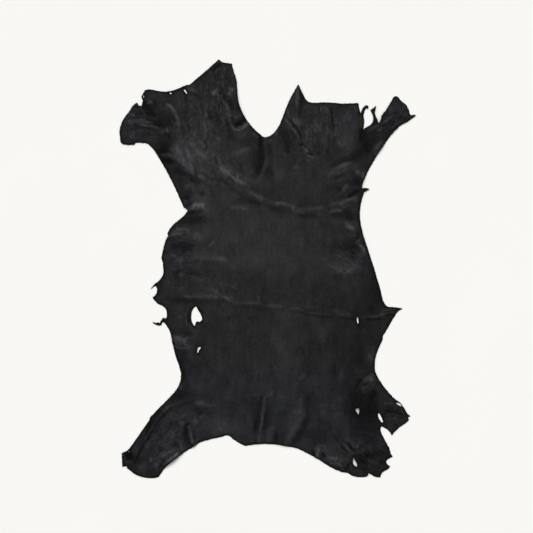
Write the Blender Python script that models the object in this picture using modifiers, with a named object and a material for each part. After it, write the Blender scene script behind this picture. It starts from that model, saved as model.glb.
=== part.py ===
"""A whole tanned hide, laid out grain side up: one closed sheet with its raw outline, flaws and folds.

Metres, Z up, Y towards the neck. The sheet lies on Z = 0 and rises off it only along its folds.
"""

import math
from collections import namedtuple

import bpy
import numpy as np
from mathutils import Vector
from mathutils.geometry import delaunay_2d_cdt, interpolate_bezier

# Driving dimensions, in metres
HIDE_LENGTH = 1.100
THICKNESS = 0.0012
EDGE_STEP = 0.013
FOLD_STEP = 0.015
RAISED_STEP = 0.0175
FLAT_STEP = 0.036

# The tables below are drawn in millimetres at the hide's real size
MM = 0.001
LINE_STEP = 4 * MM
CLOSEST_POINTS = 0.62
FLOOR_EASE = 1.2 * MM
RAISED_FROM = 0.15 * MM
MERGE_GAP = 0.001 * MM
END_FADE = 0.45
END_WIDTH = 0.5
FOLD_ROWS = (0.0, 0.5, 1.0)

GRAIN_BLACK = (0.0200, 0.0200, 0.0210, 1.0)
GRAIN_ROUGHNESS = 0.52

Stretch = namedtuple("Stretch", "name points")
Hole = namedtuple("Hole", "name points")
Swell = namedtuple("Swell", "name x y reach_x reach_y height")
Fold = namedtuple("Fold", "name height left right path")

# The raw edge, clockwise from above. Each stretch leaves a corner and runs smoothly to the next one.
EDGE = (
    Stretch("neck lobe, top", ((-127, 552), (-119, 546), (-108, 543))),
    Stretch(
        "neck notch, left side",
        ((-93, 541), (-87, 518), (-81, 498), (-78, 465), (-75, 440), (-64, 411), (-48, 385), (-31, 366)),
    ),
    Stretch(
        "neck notch, floor and right side",
        ((-17, 354), (-10, 348), (2, 348), (18, 358), (32, 377), (42, 400), (53, 429), (63, 451)),
    ),
    Stretch("neck spike and flap", ((83, 486), (95, 460), (107, 442), (121, 438), (155, 439), (200, 436))),
    Stretch("flap, end", ((241, 437), (243, 424), (246, 412))),
    Stretch("torn strand, outer side", ((250, 409), (251, 417), (256, 425), (262, 430), (266, 428))),
    Stretch("torn strand, inner side", ((266, 423), (262, 426), (257, 421), (255, 412))),
    Stretch("flap, inner edge", ((254, 405), (256, 390), (255, 376))),
    Stretch("foreleg, up to the horn", ((252, 367), (264, 374), (275, 381), (281, 393), (279, 407))),
    Stretch("horn, top", ((275, 418), (281, 423))),
    Stretch("horn, outer side", ((287, 430), (284, 421), (283, 411), (289, 398))),
    Stretch("foreleg, up to the toe", ((294, 385), (298, 387), (303, 403), (316, 421), (326, 438))),
    Stretch("foreleg, toe", ((335, 454), (343, 455), (353, 444), (365, 434), (373, 421), (377, 408))),
    Stretch("foreleg, hook", ((381, 405), (388, 406))),
    Stretch(
        "foreleg, underside",
        ((392, 405), (371, 389), (352, 379), (325, 351), (297, 311), (277, 278), (260, 245), (251, 222)),
    ),
    Stretch("armpit spike, top", ((250, 213), (259, 213))),
    Stretch("armpit spike, underside", ((270, 211), (260, 205))),
    Stretch(
        "right flank",
        ((256, 203), (249, 180), (245, 156), (245, 132), (250, 102), (260, 69), (270, 39), (280, 9),
         (290, -25)),
    ),
    Stretch("right flank, down to the spur", ((298, -51), (302, -69), (308, -87), (317, -99), (335, -101))),
    Stretch("flank spur, underside", ((357, -104), (345, -112), (335, -126), (320, -152))),
    Stretch("frayed nick", ((310, -169), (305, -177))),
    Stretch(
        "right waist",
        ((305, -186), (295, -207), (287, -229), (284, -252), (286, -273), (298, -296), (320, -325),
         (338, -344)),
    ),
    Stretch("hind paw, top", ((352, -353), (362, -368), (370, -381))),
    Stretch("hind paw, claw", ((378, -388), (372, -391))),
    Stretch("hind paw, sole", ((374, -397), (367, -405), (352, -415), (339, -427))),
    Stretch("hind paw, heel", ((329, -438), (325, -430), (315, -421))),
    Stretch(
        "right hind leg, outer side",
        ((302, -414), (299, -420), (302, -434), (311, -452), (322, -472), (326, -486)),
    ),
    Stretch("leg end, upper bite", ((331, -494), (319, -501), (314, -509), (318, -516))),
    Stretch("leg end, lower bite", ((324, -520), (319, -527), (308, -533), (301, -541))),
    Stretch("leg end, foot", ((298, -549), (285, -547), (274, -541))),
    Stretch("foot notch", ((268, -537), (266, -544))),
    Stretch("right hind leg, hem", ((260, -548), (240, -548), (225, -544))),
    Stretch("hem nick", ((213, -537), (198, -535), (190, -532))),
    Stretch(
        "rump",
        ((182, -529), (160, -517), (132, -499), (104, -484), (78, -472), (50, -467), (20, -462), (-20, -461)),
    ),
    Stretch(
        "rump, left of the hem point",
        ((-57, -466), (-72, -459), (-88, -448), (-104, -438), (-120, -442), (-150, -449), (-177, -457)),
    ),
    Stretch("left hind leg, inner side", ((-188, -464), (-215, -481), (-243, -502), (-268, -523))),
    Stretch("left foot", ((-286, -548), (-302, -551), (-325, -549), (-345, -542), (-359, -532))),
    Stretch("left foot, toe notch", ((-369, -524), (-368, -520))),
    Stretch("left foot, toe", ((-381, -521), (-381, -508))),
    Stretch("toe slit, lower lip", ((-382, -494), (-372, -487))),
    Stretch("toe slit, upper lip", ((-361, -480), (-371, -485))),
    Stretch("toe slit, sliver", ((-382, -491), (-382, -487), (-371, -481))),
    Stretch("left hind leg, outer side", ((-365, -477), (-355, -464), (-332, -431), (-310, -399))),
    Stretch(
        "left waist",
        ((-308, -392), (-284, -367), (-256, -339), (-238, -318), (-228, -297), (-226, -278), (-230, -258),
         (-239, -233), (-247, -201), (-251, -180), (-256, -162), (-264, -149)),
    ),
    Stretch("hanging tag, underside", ((-270, -141), (-276, -140), (-279, -147), (-288, -148), (-296, -145))),
    Stretch("hanging tag, top", ((-301, -140), (-293, -143), (-287, -141), (-282, -143), (-280, -138))),
    Stretch(
        "bay over the tag",
        ((-273, -129), (-266, -130), (-263, -120), (-265, -108), (-273, -98), (-282, -93)),
    ),
    Stretch("left spur, underside", ((-288, -91), (-295, -83))),
    Stretch("left spur, top", ((-301, -75), (-293, -68), (-289, -56), (-291, -47))),
    Stretch("left whisker, underside", ((-295, -44), (-300, -47))),
    Stretch(
        "left whisker and flank",
        ((-306, -52), (-296, -41), (-282, -29), (-274, -17), (-272, -5), (-274, 16), (-277, 31), (-274, 47)),
    ),
    Stretch("left flank, up to the nick", ((-271, 60), (-267, 74), (-263, 82))),
    Stretch("left flank, bulge", ((-258, 87), (-261, 92), (-255, 106), (-242, 121), (-223, 136))),
    Stretch("left armpit", ((-208, 152), (-208, 156))),
    Stretch(
        "left foreleg, underside",
        ((-218, 162), (-228, 183), (-243, 217), (-262, 255), (-281, 288), (-299, 316), (-311, 328),
         (-322, 333)),
    ),
    Stretch("left forepaw, frayed sole", ((-347, 333), (-351, 328), (-378, 329))),
    Stretch(
        "left forepaw, side",
        ((-385, 335), (-387, 350), (-388, 363), (-383, 383), (-375, 399), (-361, 417), (-354, 429)),
    ),
    Stretch("left forepaw, claw", ((-343, 438), (-336, 430))),
    Stretch("left forepaw, ring", ((-330, 430), (-327, 445), (-330, 453), (-327, 461))),
    Stretch(
        "left forepaw, top",
        ((-321, 471), (-311, 473), (-292, 470), (-268, 467), (-243, 472), (-213, 484)),
    ),
    Stretch("neck, left side", ((-203, 486), (-178, 507), (-151, 530))),
)

# Flaws and torn places that go right through, each the smooth loop through its points
HOLES = (
    Hole(
        "belly flaw",
        ((-188, -100), (-197, -107), (-199, -128), (-197, -142), (-190, -150), (-186, -140), (-176, -139),
         (-170, -132), (-174, -119), (-182, -109)),
    ),
    Hole("hip flaw", ((-174, -205), (-184, -208), (-185, -222), (-182, -222), (-175, -210))),
    Hole("flank slit", ((239, -126), (236, -134), (238, -144), (242, -145), (243, -136))),
    Hole("thigh flaw", ((232, -371), (243, -366), (243, -375), (241, -383), (236, -377))),
    Hole(
        "paw slit",
        ((294, -380), (292, -386), (296, -396), (303, -405), (307, -403), (304, -394), (299, -384)),
    ),
    Hole("leg tear", ((228, -495), (227, -502), (226, -511), (236, -522), (238, -514), (233, -503))),
    Hole("paw scratch", ((343, -354), (349, -359), (354, -360), (350, -356))),
    Hole("neck slit", ((-219, 474), (-217, 467), (-210, 461), (-209, 464), (-215, 472))),
    Hole("forepaw hole", ((-258, 463), (-254, 460), (-250, 463), (-254, 466))),
    Hole("forepaw ring", ((-325, 459), (-327, 455), (-325, 451), (-323, 455))),
)

# Broad rises on which the narrower folds sit
SWELLS = (
    Swell("left neck", -115, 405, 110, 115, 6),
    Swell("chest", 5, 262, 140, 95, 6),
    Swell("right neck", 130, 355, 120, 95, 5),
    Swell("left shoulder", -200, 290, 95, 85, 7),
    Swell("left armpit", -180, 172, 62, 40, 6),
    Swell("left forepaw", -318, 400, 75, 65, 6),
    Swell("right shoulder", 212, 232, 75, 62, 7),
    Swell("right foreleg", 318, 392, 62, 52, 4),
    Swell("left flank", -222, 84, 60, 50, 4),
    Swell("right flank", 222, 70, 55, 85, 4),
    Swell("left hip", -222, -195, 50, 45, 4),
    Swell("left thigh", -245, -430, 100, 100, 5),
    Swell("rump", 25, -405, 120, 95, 4),
    Swell("right thigh", 240, -350, 80, 90, 5),
    Swell("right leg end", 250, -500, 85, 60, 5),
)

# Ridges, and with a height below zero troughs. Left and right are the reach to each side of the path.
FOLDS = (
    Fold(
        "shoulder ridge, left", 8, 42, 18,
        ((-156, 282), (-120, 254), (-84, 220), (-54, 197), (-22, 178), (12, 168)),
    ),
    Fold(
        "shoulder ridge, middle", 5, 17, 13,
        ((-50, 200), (-16, 181), (20, 167), (53, 162), (87, 152), (129, 153), (160, 158)),
    ),
    Fold("shoulder ridge, right", 4, 20, 15, ((124, 153), (178, 162), (219, 174), (252, 194))),
    Fold("shoulder trough", -9, 16, 16, ((262, 214), (224, 200), (180, 190))),
    Fold("notch trough", -8, 22, 22, ((-18, 372), (-17, 300), (-31, 212))),
    Fold("notch crest", 3, 16, 18, ((-2, 368), (-2, 325), (0, 285))),
    Fold("second notch trough", -6, 20, 20, ((32, 388), (48, 327), (63, 288))),
    Fold("neck crease", 3, 13, 13, ((44, 402), (72, 364), (102, 322))),
    Fold("spike ridge", 6, 16, 16, ((83, 500), (85, 455), (89, 400))),
    Fold("flap trough", -5, 15, 15, ((171, 450), (174, 400), (179, 342))),
    Fold(
        "dimple rim", 8, 15, 30,
        ((-114, 440), (-98, 404), (-97, 380), (-82, 364), (-57, 376), (-42, 396)),
    ),
    Fold("dimple", -9, 24, 24, ((-90, 402), (-74, 388), (-52, 390))),
    Fold("left shoulder crest", 6, 26, 18, ((-246, 340), (-236, 300), (-208, 262), (-190, 236))),
    Fold("shoulder end crest", 5, 18, 18, ((-222, 222), (-200, 211), (-178, 206))),
    Fold("armpit lip", 6, 20, 13, ((-222, 150), (-186, 155), (-148, 163))),
    Fold("foreleg fold", 5, 14, 16, ((-292, 300), (-256, 290), (-236, 262))),
    Fold("paw crease", 4, 13, 13, ((-384, 385), (-322, 381), (-274, 366))),
    Fold("paw trough", -7, 15, 15, ((-336, 450), (-308, 415), (-284, 388))),
    Fold("forepaw ridge", 5, 18, 18, ((-266, 446), (-246, 410), (-226, 378))),
    Fold("left flank fold", 3, 13, 18, ((-272, 78), (-232, 97), (-202, 101))),
    Fold("left flank roll", 3, 24, 24, ((-250, 30), (-165, 29), (-86, 24))),
    Fold("belly crease, left", 3.5, 14, 13, ((-236, -70), (-145, -77), (-92, -82), (-24, -91))),
    Fold(
        "belly crease, right", 3, 14, 13,
        ((-20, -88), (69, -100), (180, -116), (264, -131), (304, -126), (360, -100)),
    ),
    Fold("hip fold", 5, 16, 15, ((-262, -178), (-222, -196), (-192, -205))),
    Fold("thigh crease", 4, 14, 14, ((-200, -350), (-172, -357), (-146, -361))),
    Fold(
        "leg pleat", 4, 18, 13,
        ((-196, -345), (-235, -359), (-262, -374), (-280, -396), (-301, -430), (-330, -478), (-356, -520)),
    ),
    Fold("leg trough", -6, 17, 17, ((-214, -390), (-216, -425), (-206, -490))),
    Fold("leg crest", 6, 16, 12, ((-203, -408), (-199, -440), (-190, -480))),
    Fold("leg hem roll", 5, 14, 14, ((-284, -532), (-250, -506), (-220, -484))),
    Fold("rump fold, left", 7, 18, 14, ((16, -305), (-5, -351), (-18, -420), (-28, -480))),
    Fold("rump fold, right", 4, 17, 24, ((104, -305), (87, -378), (53, -444), (38, -490))),
    Fold("hip line", 4, 16, 16, ((192, -250), (200, -300), (208, -345))),
    Fold("waist ridge", 7, 18, 15, ((240, -330), (266, -300), (300, -276))),
    Fold("tear crease, long", 5, 13, 13, ((166, -412), (196, -455), (226, -494))),
    Fold("tear crease, short", 4, 13, 13, ((208, -415), (220, -450), (230, -490))),
    Fold("leg end crumple", 6, 16, 16, ((234, -462), (262, -500), (300, -514))),
    Fold("hem pleat", 6, 13, 15, ((140, -452), (134, -480), (126, -510))),
    Fold("hem ridge", 5, 16, 14, ((146, -498), (178, -508), (212, -522))),
    Fold("hind paw ridge", 5, 14, 14, ((292, -356), (330, -364), (372, -376))),
    Fold("foreleg line", 5, 14, 14, ((252, 350), (295, 372), (342, 396))),
    Fold("foreleg rim", 5, 15, 15, ((272, 292), (294, 318), (316, 346))),
    Fold("shoulder crest, right", 3, 16, 16, ((172, 256), (202, 268), (236, 280))),
    Fold("flank roll, upper", 4, 15, 15, ((200, 130), (216, 112), (234, 96))),
    Fold("flank roll, middle", 4, 15, 15, ((232, 80), (250, 60), (270, 44))),
    Fold("flank roll, lower", 4, 26, 22, ((172, 44), (215, 20), (252, -12))),
    Fold("flank line", 4, 13, 13, ((134, 44), (162, 16), (192, -14))),
)


def smooth_line(points, step, closed=False):
    """Points about step apart on a smooth curve through the given ones. An open curve keeps both its ends."""
    knots = [Vector(point) for point in points]
    count = len(knots)
    line = []
    for i in range(count if closed else count - 1):
        a, b = knots[i], knots[(i + 1) % count]
        before = knots[i - 1] if closed or i else a
        after = knots[(i + 2) % count] if closed or i + 2 < count else b
        reach = (b - a).length / 3
        leave = a + (b - before).normalized() * reach
        arrive = b - (after - a).normalized() * reach
        pieces = max(1, round((b - a).length / step))
        line += [p.to_2d() for p in interpolate_bezier(a, leave, arrive, b, pieces + 1)[:-1]]
    if not closed:
        line.append(knots[-1])
    return np.array(line)


def hide_scale():
    """The share by which the drawn tables are scaled, so that the hide is as long as it should be."""
    drawn = [y for stretch in EDGE for _, y in stretch.points]
    return HIDE_LENGTH / ((max(drawn) - min(drawn)) * MM)


def middle():
    """The middle of the drawn outline's box, which becomes the origin."""
    drawn = np.array([point for stretch in EDGE for point in stretch.points])
    return (drawn.max(axis=0) + drawn.min(axis=0)) / 2


def placed(points):
    """Drawn millimetres to metres about the origin."""
    return (np.array(points, float) - middle()) * MM * hide_scale()


def outline():
    """The raw edge as one closed loop."""
    rounds = []
    for stretch, after in zip(EDGE, EDGE[1:] + EDGE[:1]):
        points = placed(stretch.points + after.points[:1])
        rounds.append(smooth_line(points, EDGE_STEP)[:-1])
    return np.concatenate(rounds)


def holes():
    return [smooth_line(placed(hole.points), EDGE_STEP / 2, closed=True) for hole in HOLES]


def bump(share):
    """A smooth rise from 0 at a share of 1 or more to 1 at a share of 0."""
    return np.clip(1 - share**2, 0, 1) ** 2


def swell_height(swell, places):
    away = (places - placed([(swell.x, swell.y)])) / (np.array([swell.reach_x, swell.reach_y]) * MM)
    return swell.height * MM * bump(np.hypot(*away.T))


def fold_height(fold, places):
    """The fold's height at each place. It falls to each side, and it fades and narrows towards both ends."""
    line = smooth_line(placed(fold.path), LINE_STEP)
    ahead = np.gradient(line, axis=0)
    ahead /= np.linalg.norm(ahead, axis=1, keepdims=True)
    gaps = places[:, None] - line
    near = (gaps**2).sum(axis=2).argmin(axis=1)
    gap = gaps[np.arange(len(places)), near]
    leftward = ahead[near, 0] * gap[:, 1] - ahead[near, 1] * gap[:, 0]
    along = near / (len(line) - 1)
    full = bump(1 - np.clip(np.minimum(along, 1 - along) / END_FADE, 0, 1))
    reach = np.where(leftward > 0, fold.left, fold.right) * MM
    reach *= END_WIDTH + (1 - END_WIDTH) * full
    return fold.height * MM * full * bump(np.hypot(*gap.T) / reach)


def relief(places):
    """How high the underside stands over the floor: zero wherever the hide lies flat."""
    raw = sum(swell_height(swell, places) for swell in SWELLS)
    raw = raw + sum(fold_height(fold, places) for fold in FOLDS)
    raw = np.maximum(raw, 0)
    return raw**2 / (raw + FLOOR_EASE)


def inside(places, loops):
    """True where a place lies within the outline and in no hole."""
    found = np.zeros(len(places), bool)
    x, y = places.T
    for loop in loops:
        for (ax, ay), (bx, by) in zip(loop, np.roll(loop, -1, axis=0)):
            if ay == by:
                continue
            crosses = (ay > y) != (by > y)
            found ^= crosses & (x < ax + (y - ay) * (bx - ax) / (by - ay))
    return found


def fold_points():
    """Points on each fold's path and to both sides of it."""
    found = []
    for fold in FOLDS:
        line = smooth_line(placed(fold.path), FOLD_STEP)
        ahead = np.gradient(line, axis=0)
        ahead /= np.linalg.norm(ahead, axis=1, keepdims=True)
        leftward = ahead[:, ::-1] * (-1, 1)
        for row in FOLD_ROWS:
            found.append(line + leftward * fold.left * MM * row)
            found.append(line - leftward * fold.right * MM * row)
    return np.concatenate(found)


def lattice_points(loop, step):
    """A staggered lattice over the outline's box."""
    (low_x, low_y), (high_x, high_y) = loop.min(axis=0), loop.max(axis=0)
    found = []
    for row, y in enumerate(np.arange(low_y, high_y, step * math.sqrt(3) / 2)):
        start = low_x + step / 2 * (row % 2)
        found += [(x, y) for x in np.arange(start, high_x, step)]
    return np.array(found)


def spread_out(taken, wanted, gap):
    """The wanted points that keep the gap to all taken ones and to each other."""
    kept = np.empty((len(taken) + len(wanted), 2))
    kept[:len(taken)] = taken
    count = len(taken)
    for point in wanted:
        if ((kept[:count] - point) ** 2).sum(axis=1).min() > gap**2:
            kept[count] = point
            count += 1
    return kept[:count]


def sheet_mesh():
    """The underside of the hide, filled between its edge and its holes with close points where it is raised.

    A filled curve would leave no points inside to carry the folds.
    """
    loops = [outline()] + holes()
    edges = []
    start = 0
    for loop in loops:
        count = len(loop)
        edges += [(start + i, start + (i + 1) % count) for i in range(count)]
        start += count
    points = np.concatenate(loops)
    raised = lattice_points(loops[0], RAISED_STEP)
    raised = raised[relief(raised) > RAISED_FROM]
    flat = lattice_points(loops[0], FLAT_STEP)
    for wanted, step in ((fold_points(), FOLD_STEP), (raised, RAISED_STEP), (flat, FLAT_STEP)):
        points = spread_out(points, wanted[inside(wanted, loops)], step * CLOSEST_POINTS)
    knots, _, faces, *_ = delaunay_2d_cdt([Vector(p) for p in points], edges, [], 0, MERGE_GAP, False)
    knots = np.array(knots)
    faces = np.array(faces)
    faces = faces[inside(knots[faces].mean(axis=1), loops)]
    mesh = bpy.data.meshes.new("hide")
    mesh.from_pydata(np.column_stack((knots, relief(knots))).tolist(), [], faces.tolist())
    mesh.validate()
    return mesh


def leather_material():
    material = bpy.data.materials.new("black leather")
    material.use_nodes = True
    shader = material.node_tree.nodes["Principled BSDF"]
    shader.inputs["Base Color"].default_value = GRAIN_BLACK
    shader.inputs["Roughness"].default_value = GRAIN_ROUGHNESS
    shader.inputs["Metallic"].default_value = 0.0
    return material


def build_hide(collection):
    mesh = sheet_mesh()
    mesh.materials.append(leather_material())
    mesh.shade_smooth()
    hide = bpy.data.objects.new("hide", mesh)
    collection.objects.link(hide)
    skin = hide.modifiers.new("thickness", "SOLIDIFY")
    skin.thickness = THICKNESS
    skin.offset = 1
    skin.use_even_offset = False
    return hide


def main():
    for old in list(bpy.data.objects):
        bpy.data.objects.remove(old)
    collection = bpy.data.collections.new("leather hide")
    bpy.context.scene.collection.children.link(collection)
    build_hide(collection)


main()
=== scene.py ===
"""Looks of a black tanned hide laid out grain side up.

The sheet repeats the part's outline, holes and folds, and adds what the photograph shows on top of them: the
finer creases, the combed and frayed edge, the grain, the flesh side, and painted highlights and painted
shade.
Metres, Z up, Y towards the neck. The tables are drawn in millimetres at the hide's real size.
"""
import math
from collections import namedtuple

import bpy
import numpy as np
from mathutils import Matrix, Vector, kdtree, noise
from mathutils.geometry import delaunay_2d_cdt, interpolate_bezier


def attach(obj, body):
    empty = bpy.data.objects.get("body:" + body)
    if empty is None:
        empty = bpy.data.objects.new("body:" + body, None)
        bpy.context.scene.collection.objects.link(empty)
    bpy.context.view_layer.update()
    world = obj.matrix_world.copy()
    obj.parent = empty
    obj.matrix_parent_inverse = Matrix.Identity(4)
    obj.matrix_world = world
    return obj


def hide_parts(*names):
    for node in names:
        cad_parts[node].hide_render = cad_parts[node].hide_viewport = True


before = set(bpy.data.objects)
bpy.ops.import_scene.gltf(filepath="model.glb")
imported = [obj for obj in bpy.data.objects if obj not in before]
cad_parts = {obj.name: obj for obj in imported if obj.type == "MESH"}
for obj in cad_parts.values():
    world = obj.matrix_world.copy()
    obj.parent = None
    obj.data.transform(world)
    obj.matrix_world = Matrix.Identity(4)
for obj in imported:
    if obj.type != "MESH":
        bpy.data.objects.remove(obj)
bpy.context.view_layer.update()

# Sizes in metres, and the flat area in square metres
MM = 0.001
HIDE_LENGTH = 1.100
THICKNESS = 1.2 * MM

# Mesh spacing. Points stand on each crease's path and at these shares of its reach to both sides.
LINE_STEP = 2 * MM
RIM_STEP = 2.4 * MM
CREASED_STEP = 3.1 * MM
PLAIN_STEP = 4.9 * MM
CREASE_ROWS = (0.0, 0.45, 0.9)
CLOSEST_POINTS = 0.62
MERGE_GAP = 0.001 * MM
SMOOTH_ANGLE = math.radians(50)

# The share of its length over which a fold or a crease fades at each end, and of its width left at its tips
FOLD_FADE = 0.45
CREASE_FADE = 0.28
END_WIDTH = 0.5

# How softly the folds, and then all that lies on them, come down to the floor
FLOOR_EASE = 1.2 * MM
LIFT_EASE = 0.5 * MM

Stretch = namedtuple("Stretch", "name points")
Hole = namedtuple("Hole", "name points")
Swell = namedtuple("Swell", "name x y reach_x reach_y height")
Fold = namedtuple("Fold", "name height left right path")
Crease = namedtuple("Crease", "name height reach burnish path")
Patch = namedtuple("Patch", "name x y reach_x reach_y amount")
Wrinkles = namedtuple("Wrinkles", "name x y reach_x reach_y along strength")
Light = namedtuple("Light", "name compass elevation spread strength")

# The raw edge, clockwise from above. Each stretch leaves a corner and runs smoothly to the next one.
EDGE = (
    Stretch("neck lobe, top", ((-127, 552), (-119, 546), (-108, 543))),
    Stretch(
        "neck notch, left side",
        ((-93, 541), (-87, 518), (-81, 498), (-78, 465), (-75, 440), (-64, 411), (-48, 385), (-31, 366)),
    ),
    Stretch(
        "neck notch, floor and right side",
        ((-17, 354), (-10, 348), (2, 348), (18, 358), (32, 377), (42, 400), (53, 429), (63, 451)),
    ),
    Stretch("neck spike and flap", ((83, 486), (95, 460), (107, 442), (121, 438), (155, 439), (200, 436))),
    Stretch("flap, end", ((241, 437), (243, 424), (246, 412))),
    Stretch("torn strand, outer side", ((249, 409), (250, 418), (255, 426), (262, 431), (267, 429))),
    Stretch("torn strand, inner side", ((266, 422), (262, 424), (258, 419), (256, 411))),
    Stretch("flap, inner edge", ((254, 405), (256, 390), (255, 376))),
    Stretch("foreleg, up to the horn", ((252, 367), (264, 374), (275, 381), (281, 393), (279, 407))),
    Stretch("horn, top", ((274, 419), (281, 424))),
    Stretch("horn, outer side", ((288, 430), (286, 421), (284, 411), (289, 398))),
    Stretch("foreleg, up to the toe", ((294, 385), (298, 387), (303, 403), (316, 421), (326, 438))),
    Stretch("foreleg, toe", ((335, 454), (343, 455), (353, 444), (365, 434), (373, 421), (377, 408))),
    Stretch("foreleg, hook", ((381, 405), (388, 406))),
    Stretch(
        "foreleg, underside",
        ((392, 405), (371, 389), (352, 379), (325, 351), (297, 311), (277, 278), (260, 245), (251, 222)),
    ),
    Stretch("armpit spike, top", ((250, 213), (259, 213))),
    Stretch("armpit spike, underside", ((270, 211), (260, 205))),
    Stretch(
        "right flank",
        ((256, 203), (249, 180), (245, 156), (245, 132), (250, 102), (260, 69), (270, 39), (280, 9),
         (290, -25)),
    ),
    Stretch("right flank, down to the spur", ((298, -51), (302, -69), (308, -87), (317, -99), (335, -101))),
    Stretch("flank spur, underside", ((357, -104), (345, -112), (335, -126), (320, -152))),
    Stretch("frayed nick", ((310, -169), (305, -177))),
    Stretch(
        "right waist",
        ((305, -186), (295, -207), (287, -229), (284, -252), (286, -273), (298, -296), (320, -325),
         (338, -344)),
    ),
    Stretch("hind paw, top", ((352, -353), (362, -368), (370, -381))),
    Stretch("hind paw, claw", ((378, -388), (372, -391))),
    Stretch("hind paw, sole", ((374, -397), (367, -405), (352, -415), (339, -427))),
    Stretch("hind paw, heel", ((329, -438), (325, -430), (315, -421))),
    Stretch(
        "right hind leg, outer side",
        ((302, -414), (299, -420), (302, -434), (311, -452), (322, -472), (326, -486)),
    ),
    Stretch("leg end, upper bite", ((331, -494), (319, -501), (314, -509), (318, -516))),
    Stretch("leg end, lower bite", ((324, -520), (319, -527), (308, -533), (301, -541))),
    Stretch("leg end, foot", ((298, -549), (285, -547), (274, -541))),
    Stretch("foot notch", ((268, -537), (266, -544))),
    Stretch("right hind leg, hem", ((260, -548), (240, -548), (225, -544))),
    Stretch("hem nick", ((213, -537), (198, -535), (190, -532))),
    Stretch(
        "rump",
        ((182, -529), (160, -517), (132, -499), (104, -484), (78, -472), (50, -467), (20, -462), (-20, -461)),
    ),
    Stretch(
        "rump, left of the hem point",
        ((-57, -466), (-72, -459), (-88, -448), (-104, -438), (-120, -442), (-150, -449), (-177, -457)),
    ),
    Stretch("left hind leg, inner side", ((-188, -464), (-215, -481), (-243, -502), (-268, -523))),
    Stretch("left foot", ((-286, -548), (-302, -551), (-325, -549), (-345, -542), (-359, -532))),
    Stretch("left foot, toe notch", ((-369, -524), (-368, -520))),
    Stretch("left foot, toe", ((-381, -521), (-381, -508))),
    Stretch("toe slit, lower lip", ((-382, -494), (-372, -487))),
    Stretch("toe slit, upper lip", ((-361, -480), (-371, -485))),
    Stretch("toe slit, sliver", ((-382, -491), (-382, -487), (-371, -481))),
    Stretch("left hind leg, outer side", ((-365, -477), (-355, -464), (-332, -431), (-310, -399))),
    Stretch(
        "left waist",
        ((-308, -392), (-284, -367), (-256, -339), (-238, -318), (-228, -297), (-226, -278), (-230, -258),
         (-239, -233), (-247, -201), (-251, -180), (-256, -162), (-264, -149)),
    ),
    Stretch("hanging tag, underside", ((-270, -141), (-276, -140), (-279, -147), (-288, -148), (-296, -145))),
    Stretch("hanging tag, top", ((-301, -140), (-293, -143), (-287, -141), (-282, -143), (-280, -138))),
    Stretch(
        "bay over the tag",
        ((-273, -129), (-266, -130), (-263, -120), (-265, -108), (-273, -98), (-282, -93)),
    ),
    Stretch("left spur, underside", ((-288, -91), (-295, -83))),
    Stretch("left spur, top", ((-301, -75), (-293, -68), (-289, -56), (-291, -47))),
    Stretch("left whisker, underside", ((-295, -44), (-300, -47))),
    Stretch(
        "left whisker and flank",
        ((-306, -52), (-296, -41), (-282, -29), (-274, -17), (-272, -5), (-274, 16), (-277, 31), (-274, 47)),
    ),
    Stretch("left flank, up to the nick", ((-271, 60), (-267, 74), (-263, 82))),
    Stretch("left flank, bulge", ((-258, 87), (-261, 92), (-255, 106), (-242, 121), (-223, 136))),
    Stretch("left armpit", ((-208, 152), (-208, 156))),
    Stretch(
        "left foreleg, underside",
        ((-218, 162), (-228, 183), (-243, 217), (-262, 255), (-281, 288), (-299, 316), (-311, 328),
         (-322, 333)),
    ),
    Stretch("left forepaw, frayed sole", ((-347, 333), (-351, 328), (-378, 329))),
    Stretch(
        "left forepaw, side",
        ((-385, 335), (-387, 350), (-388, 363), (-383, 383), (-375, 399), (-361, 417), (-354, 429)),
    ),
    Stretch("left forepaw, claw", ((-343, 438), (-336, 430))),
    Stretch("left forepaw, ring", ((-330, 430), (-327, 445), (-330, 453), (-327, 461))),
    Stretch(
        "left forepaw, top",
        ((-321, 471), (-311, 473), (-292, 470), (-268, 467), (-243, 472), (-213, 484)),
    ),
    Stretch("neck, left side", ((-203, 486), (-178, 507), (-151, 530))),
)

# Flaws and torn places that go right through, each the smooth loop through its points
HOLES = (
    Hole(
        "belly flaw",
        ((-187, -98), (-194, -104), (-199, -114), (-200, -128), (-197, -142), (-190, -150), (-186, -140),
         (-176, -139), (-170, -132), (-174, -119), (-181, -108)),
    ),
    Hole("hip flaw", ((-174, -205), (-182, -207), (-184, -214), (-183, -222), (-177, -213))),
    Hole("flank slit", ((239, -126), (237, -134), (239, -145), (241, -145), (242, -136))),
    Hole("thigh flaw", ((234, -371), (242, -368), (242, -376), (241, -382), (238, -377))),
    Hole(
        "paw slit",
        ((294, -380), (292, -386), (296, -396), (303, -405), (307, -403), (304, -394), (299, -384)),
    ),
    Hole("leg tear", ((228, -495), (227, -502), (226, -511), (236, -522), (238, -514), (233, -503))),
    Hole("paw scratch", ((341, -353), (348, -360), (355, -362), (352, -355))),
    Hole("neck slit", ((-219, 474), (-217, 467), (-210, 461), (-209, 464), (-215, 472))),
    Hole("forepaw hole", ((-258, 463), (-254, 460), (-250, 463), (-254, 466))),
    Hole("forepaw ring", ((-325, 459), (-327, 455), (-325, 451), (-323, 455))),
)

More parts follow.
